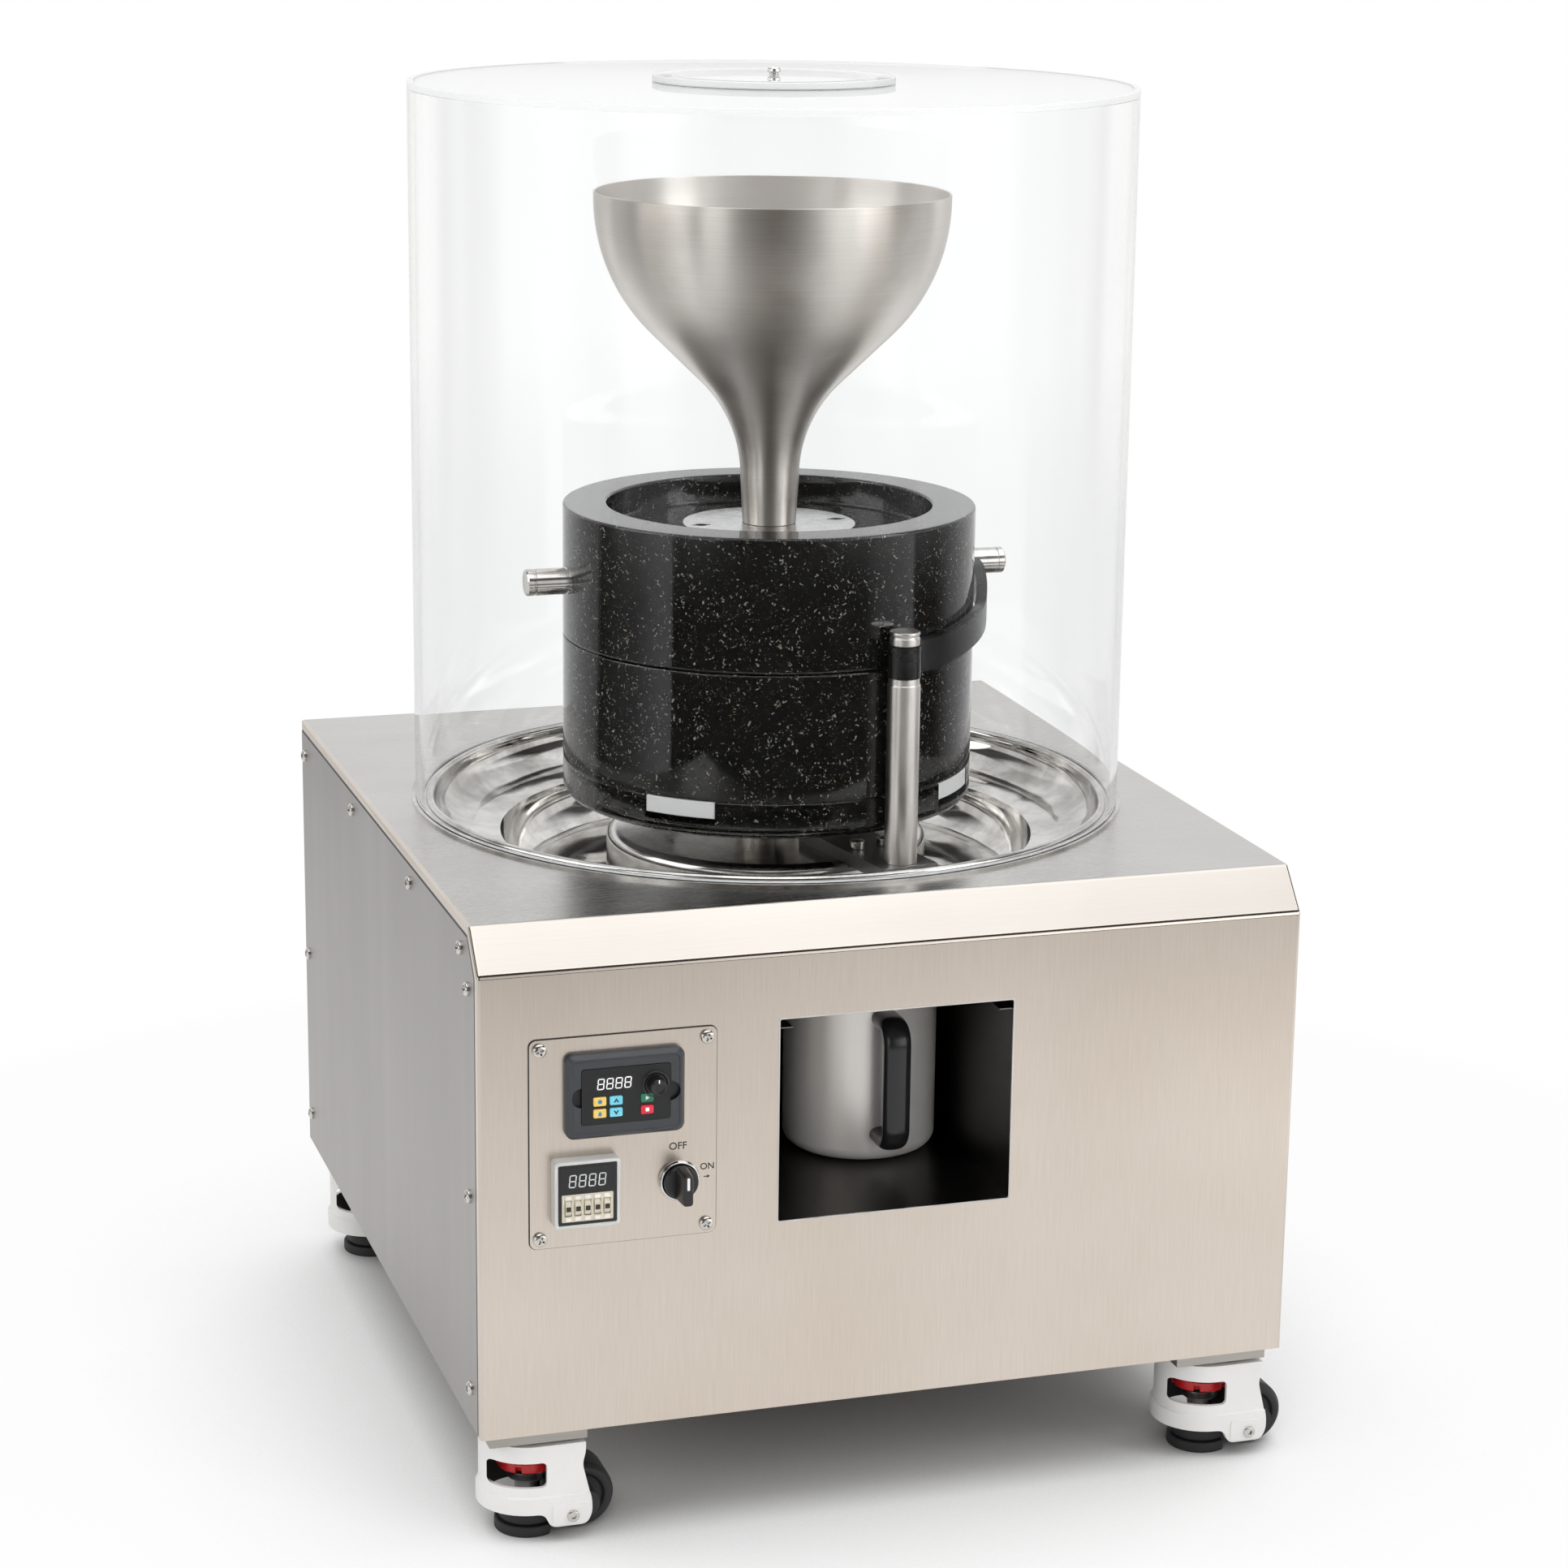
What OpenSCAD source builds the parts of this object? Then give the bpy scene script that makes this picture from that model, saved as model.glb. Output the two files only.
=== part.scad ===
// Matcha stone mill: a stainless cabinet on levelling casters, with a driven
// lower stone, a held upper stone, a feed funnel, a clear dome and a powder mug.
// Millimetres. Origin on the floor under the mill's axis, +Z up, front at -Y.

/* [Cabinet] */
// Width of the cabinet across the front
cab_w = 600; // [580:5:700]
// Depth of the cabinet from front to back
cab_d = 640; // [600:5:720]
// Height of the cabinet without its casters
cab_h = 362; // [350:1:420]
// Thickness of the cabinet's sheet steel
sheet = 1.5; // [1:0.1:2]
// Depth of the sloped edge between front and top
slope_d = 25; // [15:1:40]
// Height of the sloped edge between front and top
slope_h = 29; // [15:1:45]
// Width of the cover's fold that shows at the side
fold_w = 8; // [6:0.5:12]
// Width of the screw tab behind each side panel
tab_w = 36; // [32:1:50]
// Thickness of the base plate
base_t = 3; // [2:0.5:6]
// Radius of a panel screw's head
screw_head_r = 5; // [3:0.5:6]
// Height of a panel screw's head
screw_head_h = 3.2; // [2:0.1:4]

/* [Powder pocket and mug] */
// Width of the pocket's opening
pocket_w = 171; // [150:1:200]
// Height of the pocket's opening
pocket_h = 147; // [142:1:170]
// Distance of the pocket's middle from the mill's axis
pocket_x = -2.5; // [-10:0.5:10]
// Drop from the basin's floor to the pocket's roof
pocket_drop = 16; // [12:1:24]
// Outer radius of the mug
mug_r = 56; // [45:1:60]
// Height of the mug
mug_h = 128; // [110:1:132]
// Wall of the mug
mug_wall = 1; // [0.6:0.1:1.5]
// Radius of the mug's rounded bottom edge
mug_round = 10; // [6:1:16]
// Sideways place of the mug and of the outlet above it
mug_x = 20; // [10:1:22]
// Width of the mug's handle
handle_w = 20; // [14:1:26]
// Thickness of the mug's handle
handle_t = 12; // [8:1:14]
// Reach of the mug's handle in front of the mug
handle_reach = 34; // [28:1:44]

/* [Basin and pedestal] */
// Depth of the basin below the cabinet's top
basin_depth = 60; // [56:1:68]
// Thickness of the basin's sheet
basin_t = 1.5; // [1:0.1:2]
// Width of the basin's upper bowl
bowl_w = 32; // [26:1:38]
// Depth of the basin's upper bowl
bowl_depth = 24; // [18:1:28]
// Width of the basin's shoulder ring
shoulder_w = 18; // [12:1:24]
// Width of the trough's rounded side
trough_w = 24; // [18:1:30]
// Radius of the powder outlet
outlet_r = 22.5; // [18:0.5:27]
// Radius of the pedestal drum
pedestal_r = 122; // [114:1:130]
// Height of the pedestal drum
pedestal_h = 34; // [34:1:44]
// Radius of the pedestal's rounded top edge
pedestal_round = 8; // [3:1:12]

/* [Mill stones] */
// Radius of both stones
stone_r = 155; // [145:1:165]
// Height of the lower stone
lower_h = 95; // [85:1:105]
// Height of the upper stone
upper_h = 99; // [90:1:110]
// Height of the turning base under the lower stone
base_h = 28; // [26:1:34]
// Room between the pedestal and the turning base
hub_h = 28; // [24:1:36]
// Radius of the drive hub
hub_r = 23; // [20:1:28]
// Radius of the recess in the upper stone
recess_r = 122; // [112:1:130]
// Depth of the recess in the upper stone
recess_depth = 21.5; // [16:0.5:28]
// Radius of the upper stone's feed eye
eye_r = 30; // [24:1:36]
// Radius of the feed plate
feed_plate_r = 65; // [55:1:75]
// Thickness of the feed plate
feed_plate_t = 6; // [4:0.5:8]
// Radius of a handle pin
pin_r = 10; // [8:0.5:12]
// Length of a handle pin outside the stone
pin_out = 33; // [26:1:40]
// Height of the handle pins above the parting line
pin_rise = 46; // [40:1:56]

/* [Funnel] */
// Radius of the funnel's rim
funnel_r = 132; // [120:1:145]
// Height of the funnel above the feed plate
funnel_h = 246; // [236:1:252]
// Radius of the funnel's throat at its top
throat_r = 22; // [20.5:0.5:24]
// Radius of the funnel's bowl in section
funnel_bowl_r = 137; // [130:1:140]
// Steepest opening angle of the funnel's cone
funnel_angle = 46; // [44:1:48]
// Wall of the funnel
funnel_t = 1.5; // [1:0.1:2]

/* [Dome] */
// Height of the clear dome
dome_h = 532; // [510:1:580]
// Wall of the clear dome
dome_t = 5; // [3:0.5:6]
// Radius of the loose lid on the dome
lid_r = 89; // [80:1:100]
// Radius of the feed hole under the lid
lid_hole_r = 75; // [60:1:78]

/* [Stop post] */
// Radius of the stop post
post_r = 12; // [10:0.5:14]
// Bearing of the stop post round the mill's axis, in degrees
post_angle = -72; // [-80:1:-65]
// Thickness of the post's foot bar
bar_t = 10; // [6:1:12]
// Width of the post's foot bar
bar_w = 45; // [36:1:52]
// Height of the arm's collar on the post
collar_h = 23.5; // [18:0.5:28]
// Thickness of the stop arm
arm_t = 8; // [5:0.5:9]

/* [Control panel] */
// Width of the control plate
plate_w = 131.5; // [126:0.5:140]
// Height of the control plate
plate_h = 149; // [144:1:160]
// Distance of the control plate from the cabinet's left side
plate_edge = 35; // [30:1:45]
// Width of the drive unit's raised surround
surround_w = 83.5; // [80:0.5:88]
// Height of the drive unit's raised surround
surround_h = 60; // [57:0.5:64]
// Width of the keypad
keypad_w = 62; // [60:0.5:66]
// Height of the keypad
keypad_h = 39.6; // [38:0.2:43]
// Width of a key
key_w = 9; // [8:0.1:9.4]
// Height of a key
key_h = 6.2; // [5.5:0.1:6.6]
// Width of the timer's frame
timer_w = 46; // [44:0.5:48]
// Height of the timer's frame
timer_h = 48; // [46:0.5:50]
// How far the timer stands out of the plate
timer_out = 11; // [8:0.5:14]
// Radius of a setting wheel in the timer
digit_wheel_r = 7.5; // [6.5:0.1:8]
// Radius of the selector's metal ring
selector_r = 14.8; // [13:0.1:16]
// Reach of the selector's handle
selector_reach = 16; // [10:1:20]

/* [Casters] */
// Distance of a caster's axis from the cabinet's side
caster_inset_x = 43; // [40:1:60]
// Distance of a caster's axis from the cabinet's front or back
caster_inset_y = 44; // [40:1:60]
// Height of a caster below its mounting plate
caster_h = 76.5; // [75:0.5:90]
// Thickness of a caster's mounting plate
caster_plate_t = 10.5; // [6:0.5:12]
// Side of a caster's square mounting plate
caster_plate_w = 70; // [62:1:74]
// Radius of a caster's wheel
wheel_r = 24; // [22:0.2:25]
// Width of a caster's wheel
wheel_w = 36; // [24:1:44]
// Distance of the wheel's axle from the swivel axis
caster_trail = 35; // [34:0.5:40]
// Radius of a levelling pad
pad_r = 20; // [16:0.5:21]
// Height the pad can be screwed up
pad_lift = 6; // [4:0.5:6]

/* [Hidden] */
$fn = 96;

// Clearances
seat_gap = 0.3;       // a loose piece above its seat
stone_gap = 0.5;      // between the two stones
running_gap = 0.04;   // radial, a shaft in its bore
push_gap = 0.02;      // radial, a pressed piece in its hole
key_gap = 0.3;        // round a key
panel_gap = 1;        // round a side panel
tiny = 0.01;

// Levels above the floor
z_cab = caster_h + caster_plate_t;
z_top = z_cab + cab_h;
z_floor = z_top - basin_depth;
z_pedestal = z_floor + pedestal_h;
z_base = z_pedestal + hub_h;
z_lower = z_base + base_h;
z_parting = z_lower + lower_h;
z_upper = z_parting + stone_gap;
z_stone_top = z_upper + upper_h;
z_recess = z_stone_top - recess_depth;
z_feed = z_recess + feed_plate_t;
z_pin = z_upper + pin_rise;

// Plan sizes that follow from one another
half_w = cab_w / 2;
front_y = -cab_d / 2;
rear_y = cab_d / 2;
slope_len = sqrt(slope_d * slope_d + slope_h * slope_h);
outlet_margin = 10;
outlet_run = pedestal_r + outlet_r + outlet_margin;
outlet_y = -sqrt(outlet_run * outlet_run - mug_x * mug_x);
floor_r = outlet_run + outlet_r + 2;
shoulder_in = floor_r + trough_w;
shoulder_out = shoulder_in + shoulder_w;
mouth_r = shoulder_out + bowl_w;
bead_r = 3;
dome_in_r = mouth_r + 3 * bead_r;
dome_r = dome_in_r + dome_t;
flange_r = dome_r + 3;
flange_t = 2;

// Pocket and mug
pocket_roof = z_floor - pocket_drop;
z_pocket = pocket_roof - pocket_h;
mug_y = outlet_y - 19;
mug_room = 12;
pocket_back = mug_y + mug_r + mug_room;
z_mug = z_pocket + seat_gap;
chute_t = 1.5;
chute_flange_w = 8;
chute_flange_t = 3;

// Spindle and drive
shaft_r = 15;
bearing_r = 31;
bearing_h = 16;
boss_wall = 11;
boss_r = bearing_r + boss_wall;
frame_t = 8;
frame_x = 150;
frame_y_front = -100;
frame_y_rear = 150;
leg_w = 30;
z_frame = z_floor - basin_t - frame_t;
gearbox_w = 120;
gearbox_h = 120;
motor_r = 52;
motor_len = 220;
motor_offset = 50;
gear_mid = 64;

// Panel screws along the side panels, as [depth, height] from front-bottom
screw_front = 28;
screw_rear = 14;
screw_drop = 22;
rear_flange_w = 25;
shank_r = 2;
side_screws = [
    [screw_front, 28], [screw_front, 169], [screw_front, cab_h - slope_h - 16],
    [screw_front + slope_d - 4, cab_h - screw_drop],
    [cab_d * 0.335, cab_h - screw_drop], [cab_d * 0.667, cab_h - screw_drop],
    [cab_d - screw_rear, cab_h - screw_drop - 5], [cab_d - screw_rear, 166],
    [cab_d - screw_rear, 26]];

// Control panel: places are measured from the middle of the control plate
plate_t = 1.5;
plate_x = -half_w + plate_edge + plate_w / 2;
plate_z = pocket_roof - plate_h / 2;
plate_lap = 10.75;
plate_screw_in = 7;
surround_x = 0;
surround_z = 33.5;
surround_out = 7.5;
surround_slope = 3;
drive_w = surround_w - 8.5;
drive_h = surround_h - 9;
drive_depth = 118;
keypad_t = 3.6;
keypad_sunk = 0.9;
pocket_d = keypad_t + keypad_sunk;
key_t = 3.8;
key_out = 1.1;
pot_x = 20.6;
pot_z = 5.6;
pot_ring_r = 9.6;
pot_ring_out = 1.2;
pot_knob_r = 6;
pot_knob_h = 8;
pot_stem_r = 3;
key_left = -18.6;
key_mid = -7.2;
key_right = 14.6;
key_top = -3.4;
key_low = -11.8;
keys = [
    ["program_key", key_left, key_top, "gold"], ["enter_key", key_left, key_low, "gold"],
    ["up_key", key_mid, key_top, "deepskyblue"], ["down_key", key_mid, key_low, "deepskyblue"],
    ["run_key", key_right, key_top, "seagreen"], ["stop_key", key_right, key_low, "crimson"]];
timer_x = -28;
timer_z = -33.8;
timer_wall = 2.4;
timer_sunk = 1;
timer_body_w = 40;
timer_body_depth = 95;
wheel_count = 5;
wheel_pitch = 6.8;
digit_wheel_w = 4.2;
wheel_room = 0.5;
wheel_axle_r = 1.5;
wheel_drop = -9.5;
wheel_sunk = 5.5;
selector_x = 39;
selector_z = -33.8;
selector_ring_h = 4.5;
barrel_r = 11;
barrel_len = 32;
block_w = 30;
block_h = 42;
block_len = 42;
knob_r = 12;
knob_h = 4.5;
knob_stem_r = 6;
knob_stem_len = 20;
knob_bar_w = 8;

// Stop post and arm
post_gap = 3;
arm_gap = 2;
post_run = stone_r + post_gap + post_r;
arm_in_r = stone_r + arm_gap;
arm_out_r = arm_in_r + arm_t;
arm_mid_r = (arm_in_r + arm_out_r) / 2;
bar_turn = 10;
bar_end = post_r + 3;
bar_inner = 54;
bar_back = post_run - bar_inner;
z_bar = z_pedestal + bar_t;
z_collar = z_parting - 3;
neck_r = 8;
cap_h = 10;
cap_r = 11;
pin_clear = 0.8;
finger_angle = -asin((pin_r + pin_clear) / arm_mid_r);
arm_middle = (post_angle + finger_angle) / 2;

// Stone details
pin_in = 25;
pilot_h = 18;
drive_flange_r = 70;
drive_flange_t = 12;
notch_w = 56;
notch_h = 17.5;
notch_depth = 18;
block_run = notch_w - 2 * push_gap;
block_rise = 8.5;
block_angle = 48.5;
feed_slot_angle = 0;

// Funnel details
foot_r = 20;
spigot_r = 17;
spigot_h = 14;
throat_h = 35;
funnel_lip = 5;

// Cable gland
gland_r = 10;
gland_bore_r = 6;
gland_x = 180;
gland_z = 60;

// Dome and lid
z_dome = z_top + flange_t + seat_gap;
lid_t = 5;
lid_lip = 4;
lid_play = 1;
lid_knob_r = 5;
lid_knob_h = 8;

// Casters
corner_names = ["front_left", "front_right", "rear_left", "rear_right"];
corner_side = [[-1, -1], [1, -1], [-1, 1], [1, 1]];
floor_gap = 0.6;
axle_z = wheel_r + floor_gap;
axle_r = 4;
kingpin_r = 14;
kingpin_h = 6;
head_gap = 0.5;
head_h = 14;
z_head = caster_h - head_gap - head_h;
skirt_out = 35;
skirt_in = 31.5;
z_skirt = 23;
window_low = 45;
window_left = -30;
window_right = 4;
arm_low = 12;
stem_r = 6;
ring_r = 21.5;
ring_h = 8;
z_ring = z_head - pad_lift - ring_h - 1;
pad_h = 8;
cup_r = 9;
disc_r = 14;
disc_h = 6;
z_disc = z_ring - disc_h - 3;

// Helpers

// A list in the opposite order
function reversed(list) = [for (i = [len(list) - 1 : -1 : 0]) list[i]];

// Section line of the cover, set in by i from its outside, up to depth end_y
function cover_line(i, end_y) = [
    [front_y + i, 0],
    [front_y + i, cab_h - slope_h - i * (slope_len - slope_h) / slope_d],
    [front_y + slope_d + i * (slope_len - slope_d) / slope_h, cab_h - i],
    [end_y, cab_h - i]];

// Closed outline of the cover's section between two insets
function cover_band(a, b, end_y) = concat(cover_line(a, end_y), reversed(cover_line(b, end_y)));

// Extrudes a depth-height outline along X from x0
module along_x(x0, length) {
    translate([x0, 0, z_cab]) rotate([90, 0, 90]) linear_extrude(length) children();
}

// Puts a drawing on the cabinet's front: x, height above the floor, +z to the viewer
module on_front(x, z) {
    translate([x, front_y, z]) rotate([90, 0, 0]) children();
}

// Puts a drawing on the control plate's face
module on_plate(x, z) {
    on_front(plate_x + x, plate_z + z) translate([0, 0, plate_t]) children();
}

// A flat plate with rounded corners, centred, from z = 0
module rounded_plate(w, h, r, t) {
    linear_extrude(t) rounded_area(w, h, r);
}

// A rectangle with rounded corners
module rounded_area(w, h, r) {
    square([w - 2 * r, h], center = true);
    square([w, h - 2 * r], center = true);
    for (sx = [-1, 1], sy = [-1, 1])
        translate([sx * (w / 2 - r), sy * (h / 2 - r)]) circle(r);
}

// A plain tube from z = 0
module tube(r_out, r_in, h) {
    difference() {
        cylinder(r = r_out, h = h);
        translate([0, 0, -1]) cylinder(r = r_in, h = h + 2);
    }
}

// A turned disc with a small bevel on its upper and lower edges
module turned_disc(r, h, bevel) {
    rotate_extrude() polygon([[0, 0], [r - bevel, 0], [r, bevel],
        [r, h - bevel], [r - bevel, h], [0, h]]);
}

// Both sides of the cabinet
module both_sides() {
    children();
    mirror([1, 0, 0]) children();
}

// Cuts for the side panel screws, from the left side inwards
module side_screw_holes() {
    for (s = side_screws)
        translate([-half_w - 1, front_y + s[0], z_cab + s[1]])
            rotate([0, 90, 0]) cylinder(r = shank_r + push_gap, h = 3 * sheet + 2);
}

// Places of the control plate's corner screws
module at_plate_screws() {
    for (sx = [-1, 1], sz = [-1, 1])
        on_front(plate_x + sx * (plate_w / 2 - plate_screw_in),
            plate_z + sz * (plate_h / 2 - plate_screw_in)) children();
}

// Places of the foot bar's screws, in the bar's own direction
module at_bar_screws() {
    at_post() rotate([0, 0, bar_turn]) for (sx = [-1, 1])
        translate([sx * bar_w / 4, post_r + 33, z_bar]) children();
}

// The post's place in plan
module at_post() {
    translate([post_run * cos(post_angle), post_run * sin(post_angle), 0]) children();
}

// Cabinet

// One folded sheet: front, slope and top, with a stepped fold at each side
module front_top_cover() {
    color("gainsboro") difference() {
        union() {
            along_x(-half_w, cab_w) polygon(cover_band(0, sheet, rear_y));
            both_sides() {
                along_x(-half_w, 2 * sheet) polygon(cover_band(sheet / 2, fold_w, rear_y - sheet));
                along_x(-half_w + sheet, sheet) polygon(cover_band(sheet / 2, tab_w, rear_y - sheet));
            }
        }
        both_sides() side_screw_holes();
        translate([0, 0, z_top - sheet - 1]) cylinder(r = mouth_r + basin_t + 1, h = sheet + 2);
        on_front(pocket_x, pocket_roof - pocket_h / 2)
            translate([0, 0, -sheet - 1]) rounded_plate(pocket_w, pocket_h, 2, sheet + 2);
        on_front(plate_x, plate_z) translate([-plate_w / 2 + plate_lap, -plate_h / 2 + plate_lap, -sheet - 1])
            cube([plate_w - 2 * plate_lap, plate_h - 2 * plate_lap, sheet + 2]);
        at_plate_screws() translate([0, 0, -sheet - 1]) cylinder(r = shank_r + push_gap, h = sheet + 2);
    }
}

// Flat panel inside the cover's fold, drawn on the left
module side_panel() {
    difference() {
        along_x(-half_w, sheet)
            polygon(concat(cover_line(fold_w + panel_gap, rear_y), [[rear_y, 0]]));
        side_screw_holes();
    }
}

module left_side_panel() {
    color("silver") side_panel();
}

module right_side_panel() {
    color("silver") mirror([1, 0, 0]) side_panel();
}

// Back wall with a screw flange behind each side panel and a hole for the cable gland
module rear_panel() {
    color("silver") difference() {
        union() {
            translate([-half_w + sheet, rear_y - sheet, z_cab])
                cube([cab_w - 2 * sheet, sheet, cab_h - sheet]);
            both_sides() translate([-half_w + sheet, rear_y - rear_flange_w, z_cab + base_t])
                cube([sheet, rear_flange_w - sheet / 2, cab_h - tab_w - base_t - panel_gap]);
        }
        both_sides() side_screw_holes();
        at_gland() translate([0, 0, -sheet - 1]) cylinder(r = gland_r + push_gap, h = sheet + 2);
    }
}

// Floor of the cabinet with a thick plate and a swivel pin for each caster
module base_plate() {
    color("darkgray") union() {
        translate([-half_w + 2 * sheet, front_y + sheet, z_cab])
            cube([cab_w - 4 * sheet, cab_d - 2 * sheet, base_t]);
        for (i = [0:3]) at_corner(i) {
            translate([-caster_plate_w / 2, -caster_plate_w / 2, caster_h])
                cube([caster_plate_w, caster_plate_w, caster_plate_t + tiny]);
            translate([0, 0, caster_h - kingpin_h]) cylinder(r = kingpin_r, h = kingpin_h + tiny);
        }
    }
}

// Table inside the cabinet that carries the basin, the pedestal and the drive
module mill_frame() {
    color("dimgray") difference() {
        union() {
            translate([-frame_x - leg_w / 2, frame_y_front - leg_w / 2, z_frame])
                cube([2 * frame_x + leg_w, frame_y_rear - frame_y_front + leg_w, frame_t]);
            for (x = [-frame_x, frame_x], y = [frame_y_front, frame_y_rear])
                translate([x - leg_w / 2, y - leg_w / 2, z_cab + base_t])
                    cube([leg_w, leg_w, z_frame - z_cab - base_t + tiny]);
        }
        translate([0, 0, z_frame - 1]) cylinder(r = boss_r + push_gap, h = frame_t + 2);
    }
}

// A pan head screw with a cross slot; its head stands on z = 0
module pan_screw(head_r, head_h, length) {
    difference() {
        union() {
            rotate_extrude() polygon([[0, 0], [head_r, 0], [head_r, head_h * 0.4],
                [head_r * 0.72, head_h * 0.85], [head_r * 0.35, head_h], [0, head_h]]);
            translate([0, 0, -length]) cylinder(r = shank_r, h = length + tiny);
        }
        for (a = [0, 90]) rotate([0, 0, a])
            translate([-head_r * 0.55, -0.5, head_h * 0.45]) cube([head_r * 1.1, 1, head_h]);
    }
}

// All the cabinet's screws: side panels, control plate and foot bar
module cabinet_screws() {
    color("lightsteelblue") {
        both_sides() for (s = side_screws)
            translate([-half_w, front_y + s[0], z_cab + s[1]])
                rotate([0, -90, 0]) pan_screw(screw_head_r, screw_head_h, 2 * sheet);
        at_plate_screws() translate([0, 0, plate_t]) pan_screw(screw_head_r, screw_head_h, plate_t + sheet);
        at_bar_screws() translate([0, 0, 0]) difference() {
            cylinder(r = 5.5, h = 6);
            translate([0, 0, 3]) cylinder(r = 2.6, h = 4, $fn = 6);
        }
    }
}

// Open sheet box behind the pocket's opening
module mug_pocket() {
    y0 = front_y + sheet;
    color("dimgray") difference() {
        translate([pocket_x - pocket_w / 2 - sheet, y0, z_pocket - sheet])
            cube([pocket_w + 2 * sheet, pocket_back - y0 + sheet, pocket_h + 2 * sheet]);
        translate([pocket_x - pocket_w / 2, y0 - 1, z_pocket])
            cube([pocket_w, pocket_back - y0 + 1, pocket_h]);
        translate([mug_x, outlet_y, pocket_roof - 1])
            cylinder(r = outlet_r + chute_t + push_gap, h = sheet + 2);
    }
}

// Flanged tube from the basin's outlet into the pocket
module powder_chute() {
    z_flange = z_floor - basin_t - chute_flange_t;
    z_end = pocket_roof - 5;
    color("silver") translate([mug_x, outlet_y, 0]) {
        translate([0, 0, z_end]) tube(outlet_r + chute_t, outlet_r, z_flange + chute_flange_t - z_end);
        translate([0, 0, z_flange]) tube(outlet_r + chute_flange_w, outlet_r + chute_t / 2, chute_flange_t);
    }
}

// Section line of the basin, t outside its polished face, from the mouth to the floor
function basin_line(t) = concat(
    [[mouth_r + t, flange_t]],
    [for (a = [0 : 15 : 90])
        [shoulder_out + (bowl_w + t) * cos(a), -(bowl_depth + t) * sin(a)]],
    [for (a = [0 : 15 : 90])
        [floor_r + (trough_w + t) * cos(a),
            -bowl_depth - 3 - t - (basin_depth - bowl_depth - 3) * sin(a)]],
    [[boss_r + push_gap, -basin_depth - t]]);

// Polished bowl with a shoulder, a trough round the pedestal and a beaded flange
module basin() {
    color("whitesmoke") difference() {
        translate([0, 0, z_top]) union() {
            rotate_extrude() polygon(concat(basin_line(0), reversed(basin_line(basin_t))));
            tube(flange_r, mouth_r + basin_t / 2, flange_t);
            rotate_extrude() translate([mouth_r + bead_r, flange_t]) intersection() {
                circle(bead_r);
                translate([-bead_r, -tiny]) square([2 * bead_r, bead_r + tiny]);
            }
        }
        translate([mug_x, outlet_y, z_floor - basin_t - 1]) cylinder(r = outlet_r, h = basin_t + 2);
    }
}

// Polished drum with the bearing housing in its middle
module pedestal() {
    wall = 3;
    top_t = 6;
    rr = pedestal_round;
    color("whitesmoke") difference() {
        union() {
            translate([0, 0, z_floor]) rotate_extrude() polygon(concat(
                [[pedestal_r - wall, 0], [pedestal_r, 0]],
                [for (a = [0 : 15 : 90])
                    [pedestal_r - rr + rr * cos(a), pedestal_h - rr + rr * sin(a)]],
                [[0, pedestal_h], [0, pedestal_h - top_t], [pedestal_r - rr, pedestal_h - top_t],
                    [pedestal_r - wall, pedestal_h - rr]]));
            translate([0, 0, z_frame]) cylinder(r = boss_r, h = z_pedestal - z_frame - top_t / 2);
        }
        translate([0, 0, z_frame - 1]) cylinder(r = shaft_r + 4, h = z_pedestal);
        translate([0, 0, z_pedestal - bearing_h]) cylinder(r = bearing_r + push_gap, h = bearing_h + 1);
        translate([0, 0, z_frame - 1]) cylinder(r = bearing_r + push_gap, h = bearing_h + 1);
    }
}

// Two ball bearings, each drawn as one ring
module spindle_bearings() {
    color("slategray") for (z = [z_frame, z_pedestal - bearing_h])
        translate([0, 0, z]) tube(bearing_r, shaft_r + running_gap, bearing_h);
}

// Worm gearbox with a hollow output and its motor lying to the rear
module gear_motor() {
    z_mid = z_frame - gear_mid;
    fin_count = 9;
    fin_pitch = motor_len * 0.6 / fin_count;
    color("steelblue") union() {
        difference() {
            translate([-gearbox_w / 2, -gearbox_w / 2, z_frame - gearbox_h])
                cube([gearbox_w, gearbox_w, gearbox_h]);
            translate([0, 0, z_frame - gearbox_h - 1])
                cylinder(r = shaft_r + running_gap, h = gearbox_h + 2);
        }
        translate([motor_offset, gearbox_w / 2 - tiny, z_mid]) rotate([-90, 0, 0]) {
            cylinder(r = motor_r * 0.8, h = motor_len);
            cylinder(r = motor_r, h = 12);
            for (i = [0 : fin_count - 1])
                translate([0, 0, motor_len * 0.2 + i * fin_pitch]) cylinder(r = motor_r, h = fin_pitch / 2);
            translate([0, 0, motor_len - 30]) cylinder(r = motor_r, h = 30);
        }
        translate([motor_offset + motor_r - 12, gearbox_w / 2 + motor_len * 0.3, z_mid - 25])
            cube([26, 70, 50]);
    }
}

// Stop post

// Flat bar on the pedestal that carries the post
module post_foot_bar() {
    color("gray") difference() {
        at_post() rotate([0, 0, bar_turn]) translate([-bar_w / 2, -bar_end, z_pedestal])
            cube([bar_w, bar_end + bar_back, bar_t]);
        at_bar_screws() translate([0, 0, -bar_t - 1]) cylinder(r = 3.3, h = bar_t + 2);
    }
}

// Turned post with a neck for the arm's collar
module stop_post() {
    shoulder = z_collar - seat_gap - z_bar;
    color("silver") at_post() translate([0, 0, z_bar]) rotate_extrude() polygon([
        [0, 0], [post_r, 0], [post_r, shoulder - 5], [post_r - 0.7, shoulder - 4.5],
        [post_r - 0.7, shoulder], [neck_r, shoulder],
        [neck_r, shoulder + collar_h + 2 * seat_gap], [0, shoulder + collar_h + 2 * seat_gap]]);
}

// Steel cap that keeps the arm on the post
module post_cap() {
    color("silver") at_post() translate([0, 0, z_collar + collar_h + seat_gap])
        turned_disc(cap_r, cap_h, 1.5);
}

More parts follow.
